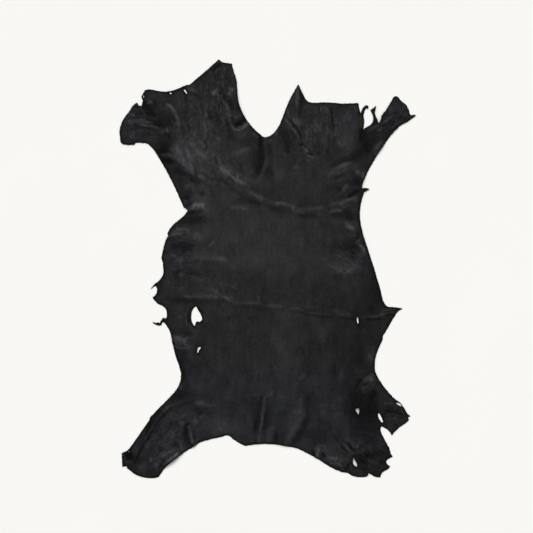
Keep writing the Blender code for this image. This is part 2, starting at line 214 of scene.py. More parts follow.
# Broad rises on which the narrower folds sit
SWELLS = (
    Swell("left neck", -115, 405, 110, 115, 6),
    Swell("chest", 5, 262, 140, 95, 6),
    Swell("right neck", 130, 355, 120, 95, 5),
    Swell("left shoulder", -200, 290, 95, 85, 7),
    Swell("left armpit", -180, 172, 62, 40, 6),
    Swell("left forepaw", -318, 400, 75, 65, 6),
    Swell("right shoulder", 212, 232, 75, 62, 7),
    Swell("right foreleg", 318, 392, 62, 52, 4),
    Swell("left flank", -222, 84, 60, 50, 4),
    Swell("right flank", 222, 70, 55, 85, 4),
    Swell("left hip", -222, -195, 50, 45, 4),
    Swell("left thigh", -245, -430, 100, 100, 5),
    Swell("rump", 25, -405, 120, 95, 4),
    Swell("right thigh", 240, -350, 80, 90, 5),
    Swell("right leg end", 250, -500, 85, 60, 5),
)

# Ridges, and with a height below zero troughs. Left and right are the reach to each side of the path.
FOLDS = (
    Fold(
        "shoulder ridge, left", 8, 42, 18,
        ((-156, 282), (-120, 254), (-84, 220), (-54, 197), (-22, 178), (12, 168)),
    ),
    Fold(
        "shoulder ridge, middle", 4.2, 18, 17,
        ((-50, 200), (-16, 181), (20, 167), (53, 162), (87, 152), (129, 153), (160, 158)),
    ),
    Fold("shoulder ridge, right", 4, 20, 15, ((124, 153), (178, 162), (219, 174), (252, 194))),
    Fold("shoulder trough", -9, 16, 16, ((262, 214), (224, 200), (180, 190))),
    Fold("notch trough", -8, 22, 22, ((-18, 372), (-17, 300), (-31, 212))),
    Fold("notch crest", 3, 16, 18, ((-2, 368), (-2, 325), (0, 285))),
    Fold("second notch trough", -6, 20, 20, ((32, 388), (48, 327), (63, 288))),
    Fold("neck crease", 3, 13, 13, ((44, 402), (72, 364), (102, 322))),
    Fold("spike ridge", 6, 16, 16, ((83, 500), (85, 455), (89, 400))),
    Fold("flap trough", -5, 15, 15, ((171, 450), (174, 400), (179, 342))),
    Fold(
        "dimple rim", 8, 15, 30,
        ((-114, 440), (-98, 404), (-97, 380), (-82, 364), (-57, 376), (-42, 396)),
    ),
    Fold("dimple", -9, 24, 24, ((-90, 402), (-74, 388), (-52, 390))),
    Fold("left shoulder crest", 6, 26, 18, ((-246, 340), (-236, 300), (-208, 262), (-190, 236))),
    Fold("shoulder end crest", 5, 18, 18, ((-222, 222), (-200, 211), (-178, 206))),
    Fold("armpit lip", 6, 20, 13, ((-222, 150), (-186, 155), (-148, 163))),
    Fold("foreleg fold", 5, 14, 16, ((-292, 300), (-256, 290), (-236, 262))),
    Fold("paw crease", 4, 13, 13, ((-384, 385), (-322, 381), (-274, 366))),
    Fold("paw trough", -7, 15, 15, ((-336, 450), (-308, 415), (-284, 388))),
    Fold("forepaw ridge", 5, 18, 18, ((-266, 446), (-246, 410), (-226, 378))),
    Fold("left flank fold", 3, 13, 18, ((-272, 78), (-232, 97), (-202, 101))),
    Fold("left flank roll", 3, 24, 24, ((-250, 30), (-165, 29), (-86, 24))),
    Fold("belly crease, left", 3.5, 14, 13, ((-236, -70), (-145, -77), (-92, -82), (-24, -91))),
    Fold(
        "belly crease, right", 3, 14, 13,
        ((-20, -88), (69, -100), (180, -116), (264, -131), (304, -126), (360, -100)),
    ),
    Fold("hip fold", 5, 16, 15, ((-262, -178), (-222, -196), (-192, -205))),
    Fold("thigh crease", 4, 14, 14, ((-200, -350), (-172, -357), (-146, -361))),
    Fold(
        "leg pleat", 4, 18, 13,
        ((-196, -345), (-235, -359), (-262, -374), (-280, -396), (-301, -430), (-330, -478), (-356, -520)),
    ),
    Fold("leg trough", -6, 17, 17, ((-214, -390), (-216, -425), (-206, -490))),
    Fold("leg crest", 6, 16, 12, ((-203, -408), (-199, -440), (-190, -480))),
    Fold("leg hem roll", 5, 14, 14, ((-284, -532), (-250, -506), (-220, -484))),
    Fold("rump fold, left", 7, 18, 14, ((16, -305), (-5, -351), (-18, -420), (-28, -480))),
    Fold("rump fold, right", 4, 17, 24, ((104, -305), (87, -378), (53, -444), (38, -490))),
    Fold("hip line", 4, 16, 16, ((192, -250), (200, -300), (208, -345))),
    Fold("waist ridge", 7, 18, 15, ((240, -330), (266, -300), (300, -276))),
    Fold("tear crease, long", 5, 13, 13, ((166, -412), (196, -455), (226, -494))),
    Fold("tear crease, short", 4, 13, 13, ((208, -415), (220, -450), (230, -490))),
    Fold("leg end crumple", 6, 16, 16, ((234, -462), (262, -500), (300, -514))),
    Fold("hem pleat", 6, 13, 15, ((140, -452), (134, -480), (126, -510))),
    Fold("hem ridge", 5, 16, 14, ((146, -498), (178, -508), (212, -522))),
    Fold("hind paw ridge", 5, 14, 14, ((292, -356), (330, -364), (372, -376))),
    Fold("foreleg line", 5, 14, 14, ((252, 350), (295, 372), (342, 396))),
    Fold("foreleg rim", 5, 15, 15, ((272, 292), (294, 318), (316, 346))),
    Fold("shoulder crest, right", 3, 16, 16, ((172, 256), (202, 268), (236, 280))),
    Fold("flank roll, upper", 4, 15, 15, ((200, 130), (216, 112), (234, 96))),
    Fold("flank roll, middle", 4, 15, 15, ((232, 80), (250, 60), (270, 44))),
    Fold("flank roll, lower", 4, 26, 22, ((172, 44), (215, 20), (252, -12))),
    Fold("flank line", 4, 13, 13, ((134, 44), (162, 16), (192, -14))),
)

# Narrow creases on the folds: height and reach in millimetres, painted light and shade, and then the path.
# The painted light and shade is below 0 where a crease gets painted shade, and above 0 where it gets a
# painted highlight.
CREASES = [Crease(*row[:4], row[4:]) for row in (
    # Left lobe of the neck
    ("neck corner fold", 0.8, 10, -2.0, (-152, 524), (-138, 531), (-118, 546)),
    ("neck corner lip", 0.8, 5, 0.8, (-132, 540), (-125, 544), (-119, 549)),
    ("neck rim, upper", 1.0, 5, 0.7, (-95, 538), (-92, 522), (-86, 500)),
    ("neck rim, lower", 0.8, 5, 0.5, (-86, 500), (-83, 470), (-79, 444)),
    ("neck dent, dark", -1.0, 9, -0.5, (-100, 528), (-106, 508), (-94, 486), (-92, 470)),
    ("neck shine, left", 1.6, 7, 2.0, (-148, 457), (-138, 465), (-126, 475)),
    ("neck shine, right", 1.6, 8, 1.4, (-98, 452), (-95, 464), (-90, 480)),
    ("neck pit", -1.0, 7, -0.7, (-126, 474), (-124, 467), (-118, 460)),
    ("slit shine", 1.6, 7, 0.6, (-212, 478), (-202, 474), (-190, 466), (-178, 460)),
    ("slit shadow", -1.2, 7, -0.9, (-206, 464), (-192, 461), (-180, 455)),
    ("slit tail", -1.2, 6, -0.7, (-215, 458), (-213, 445), (-207, 434)),
    # Rim and dimple to the left of the notch
    ("dimple rim shine, top", 1.0, 4, 0.6, (-112, 438), (-104, 428), (-100, 414)),
    ("dimple rim shine, side", 1.3, 4, 0.9, (-99, 412), (-96, 400), (-96, 386), (-90, 373)),
    ("dimple rim shine, foot", 1.6, 4, 1.1, (-96, 384), (-88, 370), (-71, 366), (-55, 377)),
    ("dimple rim shine, end", 1.0, 5, 0.8, (-62, 372), (-52, 380), (-42, 386)),
    ("dimple shadow", -2.2, 10, -1.8, (-86, 376), (-74, 384), (-60, 393), (-48, 397)),
    ("dimple upper shadow", -1.4, 9, -0.9, (-114, 462), (-98, 438), (-86, 410)),
    ("dimple inner light", 0.8, 8, 0.4, (-86, 398), (-78, 402), (-66, 408)),
    ("dimple outer shadow", -1.0, 8, -0.6, (-112, 412), (-109, 400), (-106, 380), (-104, 366)),
    ("dimple outer line", -0.8, 7, -0.5, (-128, 420), (-128, 400), (-122, 384), (-124, 370)),
    # Lines down the left of the neck
    ("left neck line, a", 0.8, 6, 0.5, (-152, 356), (-138, 350), (-126, 342), (-122, 326)),
    ("left neck line, b", -0.8, 4, -1.2, (-164, 344), (-160, 328), (-160, 306)),
    ("left neck line, c", 0.7, 5, 0.5, (-168, 344), (-164, 330), (-164, 314)),
    ("left neck line, d", 0.8, 6, 0.6, (-202, 334), (-197, 326), (-190, 320)),
    ("left neck line, e", 0.8, 7, 0.6, (-190, 320), (-182, 308), (-170, 298), (-160, 284)),
    ("left neck line, f", 0.7, 6, 0.5, (-214, 318), (-208, 306), (-200, 292)),
    ("left neck line, g", -0.8, 6, -0.5, (-140, 300), (-134, 286), (-127, 270)),
    ("left neck line, h", 0.7, 6, 0.4, (-132, 300), (-126, 286), (-118, 272)),
    ("left neck streak, a", 0.5, 5, 0.35, (-186, 420), (-184, 400), (-188, 372)),
    ("left neck streak, b", 0.5, 5, 0.35, (-166, 392), (-162, 372), (-160, 358)),
    ("left neck streak, c", -0.5, 5, -0.4, (-174, 440), (-170, 410), (-172, 380)),
    ("left neck streak, d", -0.5, 5, -0.4, (-148, 440), (-152, 410), (-146, 380)),
    ("left neck streak, e", 0.5, 6, 0.4, (-150, 430), (-158, 410), (-156, 396)),
    ("left neck streak, f", 0.5, 5, 0.35, (-196, 392), (-196, 370), (-202, 350)),
    ("neck throat glow", 0.6, 12, 0.5, (-98, 296), (-66, 309), (-37, 319)),
    # Under the notch, and the chest
    ("notch groove", -1.4, 8, -1.5, (-20, 366), (-17, 340), (-16, 314)),
    ("notch groove, lower", -1.0, 12, -0.6, (-16, 340), (-18, 300), (-24, 262), (-32, 226)),
    ("notch shine, right", 0.5, 6, 0.3, (-6, 338), (-5, 318), (-4, 290)),
    ("notch rim shine", 0.8, 7, 0.6, (-40, 356), (-30, 352), (-22, 345)),
    ("notch rim shine, right", 0.8, 7, 0.5, (-4, 338), (6, 336), (16, 344)),
    ("notch right groove", -0.6, 16, -0.6, (38, 384), (48, 346), (58, 310), (66, 284)),
    ("notch right rim shine", 1.0, 7, 0.8, (18, 354), (26, 362), (32, 370)),
    ("chest glow", 0.4, 22, 0.3, (18, 252), (32, 242), (46, 234)),
    ("chest block shine", 0.9, 9, 0.7, (70, 270), (76, 268), (84, 270)),
    ("chest shade", -0.3, 24, -0.25, (-6, 268), (4, 250), (2, 226)),
    # Crease down the right of the neck
    ("neck crease shine, left", 1.0, 3, 1.0, (44, 402), (56, 384), (70, 366), (84, 348)),
    ("neck crease groove, left", -1.0, 3.2, -1.2, (54, 402), (68, 382), (86, 358), (100, 338)),
    ("neck crease light, left", 0.8, 6, 0.7, (62, 398), (74, 388), (84, 370)),
    ("neck crease groove, mid", -1.1, 4, -1.1, (84, 330), (94, 322), (104, 312)),
    ("neck crease light, mid", 0.8, 7, 0.6, (66, 384), (76, 392), (84, 376)),
    ("neck crease groove, low", -1.0, 5, -0.8, (88, 332), (96, 326), (106, 316)),
    ("neck crease shine, low", 1.3, 4.5, 1.7, (92, 326), (98, 318), (108, 307)),
    ("neck crease light, low", 0.8, 7, 0.5, (100, 364), (106, 356), (116, 352)),
    ("short crease, a", 0.9, 4, 0.9, (102, 301), (112, 297), (126, 293)),
    ("short crease, b", -0.8, 4, -0.9, (104, 307), (116, 303), (128, 299)),
    ("short crease, c", 0.8, 4, 0.7, (98, 290), (108, 287), (118, 284)),
    ("short crease, d", -0.7, 5, -0.5, (96, 300), (97, 288), (98, 276)),
    # Spike and flap
    ("spike light", 0.9, 6, 0.7, (83, 482), (81, 462), (82, 436), (83, 410)),
    ("spike groove", -1.0, 8, -0.7, (90, 472), (90, 440), (87, 410), (92, 382)),
    ("spike light, low", 0.8, 6, 0.5, (83, 408), (86, 390), (92, 372)),
    ("spike rim", 0.8, 5, 0.5, (58, 430), (66, 446), (74, 464)),
    ("spike base light", 0.9, 6, 0.6, (48, 412), (54, 420), (58, 404), (64, 392)),
    ("flap streak, a", 0.9, 4, 0.9, (144, 434), (143, 424), (144, 414)),
    ("flap streak, b", 0.8, 4, 0.6, (154, 432), (151, 424), (150, 416)),
    ("flap streak, c", 0.8, 4, 0.6, (160, 428), (158, 418), (159, 406)),
    ("flap streak, dark", -0.8, 4, -0.7, (140, 434), (140, 426), (139, 416)),
    ("flap groove", -1.0, 6, -0.8, (169, 434), (172, 402), (176, 370), (178, 350)),
    ("flap light, left", 0.6, 7, 0.4, (162, 424), (166, 402), (168, 382)),
    ("flap light, right", 0.6, 6, 0.4, (178, 408), (180, 392), (184, 376)),
    ("flap glow", 0.9, 20, 0.35, (200, 404), (212, 400), (222, 414)),
    ("flap glow, low", 0.9, 18, 0.4, (186, 340), (196, 330), (202, 320)),
    ("flap end rim", 0.7, 5, 0.5, (228, 432), (232, 424), (236, 414)),
    # Right foreleg
    ("foreleg line light", 0.9, 6, 0.6, (284, 362), (300, 368), (318, 376), (336, 388)),
    ("foreleg line groove", -0.8, 5, -0.6, (300, 372), (312, 382), (334, 394)),
    ("foreleg toe shade", -1.0, 12, -0.6, (344, 400), (358, 398), (370, 398)),
    ("foreleg under shade", -0.9, 8, -0.7, (334, 366), (346, 376), (358, 384)),
    ("foreleg rim shine, a", 1.1, 6, 0.6, (288, 312), (294, 318), (298, 326)),
    ("foreleg rim shine, b", 1.1, 5, 0.6, (300, 322), (304, 328), (308, 334)),
    ("foreleg rim shine, c", 0.9, 5, 0.45, (282, 302), (287, 306), (290, 312)),
    ("foreleg toe light", 1.0, 6, 0.7, (320, 414), (325, 424), (330, 432)),
    ("foreleg toe light, right", 0.8, 5, 0.5, (358, 436), (363, 428), (366, 418)),
    ("foreleg notch pit", -2.0, 8, -1.3, (248, 376), (249, 352), (246, 334)),
    ("foreleg notch pit, right", -1.6, 7, -1.0, (250, 362), (257, 356), (263, 348)),
    ("foreleg shade", -1.0, 20, -0.5, (252, 332), (266, 320), (262, 300)),
    # Right shoulder and armpit
    ("right shoulder shade", -0.5, 16, -0.42, (158, 254), (186, 276), (216, 290), (246, 306), (264, 320)),
    ("right shoulder light", 0.5, 10, 0.22, (168, 248), (204, 260), (236, 270), (264, 290)),
    ("right shoulder shade, low", -1.0, 12, -0.6, (176, 240), (194, 244), (210, 250)),
    ("right shoulder light, low", 0.8, 10, 0.4, (158, 246), (168, 250), (176, 258)),
    ("right arm streak", 0.9, 7, 0.9, (196, 204), (204, 214), (212, 226)),
    ("right arm streak, shade", -0.5, 8, -0.25, (186, 220), (190, 210), (190, 198)),
    ("armpit groove", -1.6, 7, -1.0, (248, 212), (234, 203), (222, 196), (208, 191)),
    ("armpit groove, tail", -0.7, 8, -0.4, (210, 192), (196, 188), (180, 184)),
    ("armpit rim shine, top", 1.2, 8, 1.2, (242, 264), (240, 254), (246, 246)),
    ("armpit rim shine, low", 1.2, 7, 1.2, (256, 260), (254, 250), (252, 238)),
    ("armpit shade", -0.7, 10, -0.35, (228, 238), (236, 226), (232, 216)),
    # Ridge across the shoulders
    ("shoulder shine, right end", 0.9, 7, 0.5, (188, 168), (204, 174), (220, 180), (236, 186), (248, 192)),
    ("shoulder shine, right spot", 0.9, 7, 0.5, (190, 172), (200, 167), (210, 164)),
    ("shoulder shine, lower right", 1.2, 8, 0.7, (156, 152), (178, 154), (204, 157)),
    ("shoulder shade, lower right", -0.7, 14, -0.4, (160, 142), (196, 144), (232, 148)),
    ("right flank shade, top", -0.7, 16, -0.4, (206, 132), (222, 140), (236, 148)),
    ("shoulder shine, left a", 1.4, 8, 0.55, (-124, 268), (-108, 254), (-94, 242)),
    ("shoulder shine, left b", 1.4, 8, 0.6, (-96, 244), (-84, 232), (-70, 226), (-50, 221)),
    ("shoulder shine, left c", 0.9, 6, 0.7, (-80, 246), (-76, 238), (-72, 230)),
    ("shoulder glow, left", 0.9, 16, 0.4, (-124, 276), (-112, 256), (-98, 238)),
    ("shoulder shine, mid a", 0.8, 10, 0.7, (-56, 206), (-40, 200), (-22, 190), (0, 179)),
    ("shoulder shine, mid b", 0.7, 8, 0.5, (18, 172), (32, 171), (54, 169)),
    ("shoulder shine, mid c", 0.8, 6, 0.4, (62, 164), (74, 158), (84, 154), (104, 156)),
    ("shoulder shine, mid d", 0.9, 8, 0.5, (104, 158), (128, 159), (152, 164)),
    ("shoulder spur", 0.7, 5, 0.5, (74, 166), (71, 154), (70, 144)),
    ("shoulder groove, left", -0.7, 13, -0.4, (-92, 182), (-64, 180), (-34, 176), (-6, 168)),
    ("shoulder groove, mid", -0.6, 13, -0.35, (-4, 166), (24, 158), (58, 146), (78, 143)),
    ("shoulder groove, right", -0.7, 10, -0.45, (78, 143), (110, 141), (140, 142)),
    ("shoulder groove, upper left", -0.8, 8, -0.4, (-146, 240), (-126, 234), (-112, 228)),
    ("under shoulder shine", 0.8, 7, 0.6, (-106, 165), (-72, 161), (-34, 155)),
    # Left shoulder and armpit
    ("left arm shade", -0.9, 13, -0.5, (-256, 266), (-230, 256), (-204, 246), (-180, 238)),
    ("left arm shade, low", -1.0, 14, -0.6, (-206, 236), (-186, 232), (-170, 226)),
    ("left arm shade, inner", -1.0, 12, -0.6, (-176, 204), (-168, 194), (-160, 190)),
    ("left arm shine, a", 0.8, 7, 0.5, (-244, 310), (-238, 292), (-226, 276)),
    ("left arm shine, b", 1.0, 6, 0.8, (-206, 280), (-199, 262), (-190, 242)),
    ("left arm shine, c", 0.7, 8, 0.4, (-180, 250), (-170, 242), (-164, 232)),
    ("left arm groove", -0.8, 4, -0.6, (-189, 268), (-187, 254), (-188, 240)),
    ("left arm light", 0.9, 14, 0.6, (-240, 330), (-230, 300), (-214, 268), (-200, 246)),
    ("left arm spot, a", 0.8, 8, 0.5, (-216, 220), (-209, 212), (-204, 204)),
    ("left arm spot, b", 0.7, 7, 0.4, (-198, 216), (-192, 208), (-188, 200)),
    ("left armpit shade", -1.3, 11, -0.8, (-218, 196), (-210, 186), (-200, 182)),
    ("left armpit shade, low", -1.2, 8, -0.8, (-214, 172), (-206, 168), (-200, 178)),
    ("left rim light", 0.7, 6, 0.4, (-248, 240), (-238, 222), (-226, 196)),
    ("lip shine, b", 0.4, 4.5, 0.1, (-180, 153), (-170, 156), (-158, 160)),
    ("lip light, a", 1.0, 7, 0.6, (-194, 160), (-189, 168), (-186, 176)),
    ("lip light, b", 1.0, 7, 0.6, (-172, 158), (-168, 166), (-164, 174)),
    ("lip shade", -0.8, 18, -0.4, (-210, 130), (-184, 132), (-146, 132)),
    # Left foreleg and forepaw
    ("foreleg fold shine", 1.0, 6, 0.5, (-258, 318), (-250, 314), (-240, 308)),
    ("foreleg pit", -2.0, 12, -1.4, (-284, 318), (-272, 304), (-262, 290)),
    ("foreleg pit, low", -1.2, 10, -0.6, (-276, 292), (-262, 284), (-246, 272)),
    ("foreleg rim light", 0.8, 4, 0.5, (-270, 284), (-256, 277), (-244, 268)),
    ("paw groove, black", -2.2, 13, -2.4, (-350, 462), (-332, 440), (-312, 418), (-288, 390)),
    ("paw groove, lower", -0.9, 12, -0.5, (-324, 402), (-304, 390), (-284, 380), (-262, 374)),
    ("paw line shine", 1.0, 3.5, 1.0, (-350, 382), (-328, 379), (-302, 375), (-272, 370)),
    ("paw line, a", 0.7, 3.5, 0.8, (-340, 391), (-328, 394), (-310, 399)),
    ("paw line, b", 0.9, 6, 0.7, (-368, 390), (-362, 384), (-352, 380)),
    ("paw line, c", 0.8, 5, 0.7, (-362, 410), (-354, 404), (-346, 400)),
    ("paw line, d", 0.6, 5, 0.4, (-346, 356), (-330, 362), (-306, 362)),
    ("paw line, e", -0.7, 5, -0.5, (-320, 350), (-304, 355), (-286, 352)),
    ("paw line, f", 0.7, 5, 0.4, (-362, 344), (-352, 350), (-344, 358)),
    ("paw rim shade", -0.8, 7, -0.6, (-352, 418), (-342, 424), (-332, 424)),
    ("paw upper shade", -0.8, 12, -0.5, (-348, 410), (-334, 410), (-320, 406)),
    ("paw base light, a", 1.1, 7, 0.7, (-284, 366), (-276, 362), (-270, 358)),
    ("paw base light, b", 1.1, 8, 0.8, (-268, 372), (-263, 366), (-258, 360)),
    ("paw base groove", -0.9, 5, -0.8, (-274, 366), (-264, 356), (-252, 344)),
    ("forepaw ridge shine, top", 1.2, 6, 1.1, (-268, 436), (-256, 429), (-246, 420), (-239, 408)),
    ("forepaw ridge shine, low", 1.2, 5.5, 1.1, (-245, 416), (-238, 402), (-234, 390), (-228, 372)),
    ("forepaw shade", -0.6, 26, -0.1, (-284, 410), (-262, 394), (-246, 376)),
    ("forepaw rim line", 0.8, 5, 0.5, (-318, 440), (-308, 438), (-300, 442)),
    ("forepaw streak", -0.6, 8, -0.5, (-300, 452), (-294, 434), (-290, 414)),
    # Left flank
    ("flank fold shine", 0.9, 2.4, 1.2, (-268, 78), (-250, 88), (-234, 93), (-206, 97)),
    ("flank fold spot", 0.6, 6, 0.4, (-242, 108), (-233, 104), (-226, 100)),
    ("flank fold hook", 0.9, 5, 0.7, (-214, 102), (-207, 98), (-204, 90)),
    ("flank fold shade", -0.8, 14, -0.35, (-262, 66), (-236, 62), (-206, 62), (-180, 64)),
    ("flank fold shade, low", -0.5, 12, -0.35, (-230, 48), (-212, 46), (-196, 50)),
    ("flank fold light", 0.9, 14, 0.6, (-196, 92), (-180, 86), (-164, 78)),
    ("flank tick, a", 0.7, 4, 0.7, (-156, 56), (-146, 66), (-136, 76)),
    ("flank light, a", 0.8, 11, 0.5, (-258, 42), (-250, 36), (-240, 40)),
    ("flank light, b", 0.8, 11, 0.5, (-236, 28), (-228, 24), (-222, 32)),
    ("flank light, c", 0.6, 9, 0.5, (-206, 31), (-170, 29), (-130, 27), (-94, 25)),
    ("flank light, e", 0.7, 12, 0.4, (-130, 26), (-116, 22), (-100, 28)),
    ("flank dark, a", -0.7, 14, -0.5, (-240, 2), (-236, -10), (-246, -22)),
    ("flank line, low a", 0.7, 5, 0.4, (-238, -20), (-228, -16), (-216, -18)),
    ("flank line, low b", 0.6, 6, 0.4, (-204, -24), (-192, -22), (-180, -28), (-164, -34)),
    ("flank line, low c", -0.5, 5, -0.4, (-210, -14), (-190, -12), (-172, -16)),
    # Belly and the line across it
    ("belly arc, upper", 0.7, 6, 0.45, (-134, -36), (-112, -40), (-92, -46), (-76, -58)),
    ("belly arc, lower", 0.8, 6, 0.5, (-150, -42), (-144, -54), (-130, -62), (-112, -72)),
    ("belly spot", 0.6, 8, 0.4, (-84, -44), (-79, -42), (-74, -46)),
    ("belly tick", 0.5, 6, 0.4, (-52, -10), (-50, -20), (-46, -28)),
    ("belly shine, a", 0.9, 5, 0.6, (-222, -70), (-212, -72), (-200, -75)),
    ("belly shine, b", 0.9, 3.5, 0.6, (-228, -71), (-180, -75), (-156, -75), (-110, -80)),
    ("belly shine, c", 0.9, 5, 0.6, (-118, -72), (-106, -78), (-92, -80)),
    ("belly shine, d", 0.8, 3.5, 0.5, (-118, -80), (-84, -88), (-30, -90)),
    ("belly shine, e", 0.9, 5, 0.6, (-52, -90), (-34, -89), (-12, -93)),
    ("belly shine, spike", 0.9, 4, 0.7, (-21, -70), (-21, -80), (-18, -92)),
    ("belly line groove, a", -0.7, 10, -0.45, (-276, -78), (-246, -82), (-204, -84), (-142, -88)),
    ("belly line groove, b", -0.4, 8, -0.2, (-100, -97), (-66, -98), (-20, -104), (10, -108)),
    ("belly shine, f", 0.8, 6, 0.5, (-6, -94), (24, -98), (52, -98)),
    ("belly shine, g", 0.8, 5, 0.5, (56, -101), (74, -104), (98, -109)),
    ("belly line groove, c", -0.7, 4.5, -0.5, (54, -112), (84, -114), (116, -121), (150, -125), (184, -127)),
    ("belly shine, h", 0.6, 5, 0.3, (98, -114), (128, -118), (152, -119), (180, -118)),
    ("belly shine, i", 0.6, 6, 0.35, (180, -120), (206, -121), (230, -122)),
    ("belly line groove, d", -0.7, 5, -0.5, (186, -128), (212, -131), (234, -132)),
    ("belly line groove, e", -1.0, 5, -0.9, (250, -134), (272, -133), (294, -131), (318, -130)),
    ("belly shine, j", 0.9, 5, 0.6, (258, -128), (284, -124), (302, -119), (326, -114)),
    ("spur groove", -1.0, 5, -0.9, (308, -124), (322, -120), (338, -119)),
    # A painted shade spot in a shallow dip
    ("spur blot", -0.6, 12, -0.5, (268, -100), (276, -106), (284, -112)),
    ("flaw crease, a", -0.7, 4, -0.6, (-206, -110), (-208, -128), (-204, -150)),
    ("flaw crease, b", 0.7, 5, 0.5, (-214, -110), (-213, -130), (-212, -152)),
    ("flaw crease, c", 0.6, 5, 0.4, (-166, -118), (-164, -130), (-168, -144)),
    ("flaw crease, d", 0.6, 8, 0.4, (-240, -132), (-230, -126), (-220, -122)),
    # Painted shade spots in shallow dips
    ("belly blot, a", -0.4, 9, -0.4, (-108, -134), (-102, -132), (-96, -134)),
    ("belly blot, b", -0.4, 9, -0.4, (-48, -136), (-44, -130), (-40, -126)),
    # Left hip and waist
    ("hip shine, a", 0.9, 4.5, 0.9, (-246, -200), (-232, -208), (-214, -208), (-200, -206)),
    ("hip shine, b", 0.8, 4, 0.8, (-244, -186), (-239, -194), (-237, -204)),
    ("hip shine, c", 0.8, 4, 0.8, (-232, -184), (-228, -193), (-228, -203)),
    ("hip shade", -0.6, 12, -0.2, (-226, -222), (-226, -240), (-220, -256)),
    ("hip shade, upper", -0.6, 12, -0.5, (-222, -176), (-208, -170), (-194, -176)),
    ("waist light", 0.8, 5, 0.9, (-231, -300), (-228, -308), (-225, -318)),
    ("waist shade", -0.8, 17, -0.5, (-240, -330), (-228, -334), (-214, -334)),
    ("waist rim shade", -0.8, 8, -0.5, (-220, -262), (-218, -280), (-220, -298)),
    # Left hind leg
    ("thigh shine", 0.8, 4.5, 0.45, (-198, -354), (-174, -357), (-128, -361)),
    ("thigh shade", -0.8, 12, -0.6, (-196, -366), (-180, -374), (-168, -388)),
    ("pleat groove, top", -0.6, 6, -0.4, (-184, -344), (-200, -350), (-222, -358), (-240, -368)),
    ("pleat groove, mid", -0.9, 6, -0.85, (-240, -360), (-256, -370), (-270, -384), (-284, -402)),
    ("pleat groove, low", -1.8, 3.8, -2.3, (-262, -372), (-280, -394), (-296, -420), (-322, -460),
     (-344, -500), (-354, -520)),
    ("pleat strip shade", -0.5, 14, -0.4, (-262, -352), (-296, -394), (-326, -440)),
    ("foot pit", -2.4, 15, -1.6, (-376, -497), (-362, -494), (-350, -491)),
    ("foot pit lip", 1.0, 5, 0.6, (-374, -510), (-362, -508), (-350, -508)),
    ("leg groove", -1.6, 10, -1.0, (-212, -398), (-214, -420), (-214, -444), (-208, -466)),
    ("leg shine", 1.4, 5, 1.0, (-200, -424), (-200, -440), (-194, -462)),
    ("leg light, a", 0.8, 12, 0.45, (-202, -402), (-190, -402), (-180, -396)),
    ("leg light, b", 0.7, 10, 0.4, (-178, -394), (-170, -386), (-166, -380)),
    ("leg tick", 1.1, 4, 1.0, (-230, -456), (-226, -468), (-220, -480)),
    ("leg hem shine, a", 1.2, 3, 0.8, (-222, -478), (-238, -491), (-256, -503)),
    ("leg hem shine, b", 1.2, 3.2, 0.8, (-226, -483), (-248, -498), (-270, -517)),
    ("leg hem shade", -0.9, 8, -0.7, (-264, -500), (-276, -514), (-286, -528)),
    ("leg light, c", 0.5, 5, 0.4, (-252, -444), (-242, -438), (-230, -440)),
    ("leg light, d", 0.9, 8, 0.6, (-288, -496), (-272, -488), (-254, -484), (-240, -482)),
    ("leg light, e", 1.0, 7, 0.7, (-310, -496), (-307, -504), (-304, -510)),
    ("leg light, f", 0.5, 5, 0.35, (-304, -450), (-290, -446), (-278, -440)),
    ("leg light, g", 0.4, 6, 0.25, (-284, -458), (-272, -466), (-262, -460)),
    ("leg light, h", 0.4, 5, 0.3, (-282, -420), (-276, -410), (-268, -404)),
    ("leg shade, c", -0.7, 10, -0.5, (-258, -470), (-246, -464), (-238, -470)),
    ("leg shade, d", -0.7, 12, -0.5, (-262, -404), (-244, -408), (-228, -404)),
    ("foot light, a", 0.7, 9, 0.4, (-340, -526), (-326, -520), (-314, -522)),
    ("foot light, b", 0.8, 8, 0.5, (-300, -512), (-292, -516), (-284, -512)),
    ("foot shade", -0.6, 9, -0.4, (-322, -536), (-306, -534), (-292, -528)),
    # Rump
    ("rump line, left", 1.5, 4.5, 0.85, (4, -338), (-5, -352), (-10, -380), (-16, -416), (-21, -440),
     (-25, -470)),
    ("rump line, left top", 0.9, 6, 0.6, (20, -318), (12, -328), (2, -340)),
    ("rump groove, left a", -1.2, 8, -0.75, (-4, -326), (-14, -350), (-20, -380), (-28, -410), (-38, -446)),
    ("rump groove, left b", -0.9, 8, -0.6, (4, -352), (0, -380), (-6, -412), (-10, -446)),
    ("rump light, mid", 0.8, 12, 0.45, (16, -404), (8, -430), (2, -464)),
    ("rump groove, mid", -0.7, 10, -0.5, (24, -424), (24, -444), (22, -466)),
    ("rump line, right", 0.7, 6, 0.3, (86, -384), (74, -404), (62, -426), (52, -448), (44, -472)),
    ("rump line, right top", 0.8, 9, 0.45, (92, -330), (91, -352), (88, -384)),
    ("rump groove, right", -0.6, 13, -0.35, (108, -314), (106, -350), (104, -386), (96, -424), (82, -462)),
    ("rump groove, right low", -0.8, 16, -0.6, (88, -420), (80, -440), (72, -466)),
    ("rump dash, left", 0.6, 4, 0.35, (-46, -331), (-32, -331), (-18, -332)),
    ("rump dash, right", 0.6, 4, 0.35, (26, -338), (42, -335), (58, -341)),
    ("rump light, a", 0.7, 9, 0.4, (-118, -398), (-114, -406), (-110, -414)),
    ("rump light, b", 0.7, 8, 0.4, (-126, -414), (-123, -422), (-120, -430)),
    ("rump light, c", 0.7, 8, 0.4, (82, -292), (92, -284), (102, -278)),
    ("rump light, d", 0.6, 9, 0.4, (70, -372), (80, -380), (92, -372)),
    ("rump rim shine", 0.8, 5, 0.6, (-92, -442), (-80, -450), (-70, -454)),
    # Right hip, thigh and waist
    ("hip line light", 0.7, 6, 0.3, (196, -250), (198, -280), (196, -312)),
    ("hip line groove", -0.6, 6, -0.4, (178, -236), (178, -262), (180, -296)),
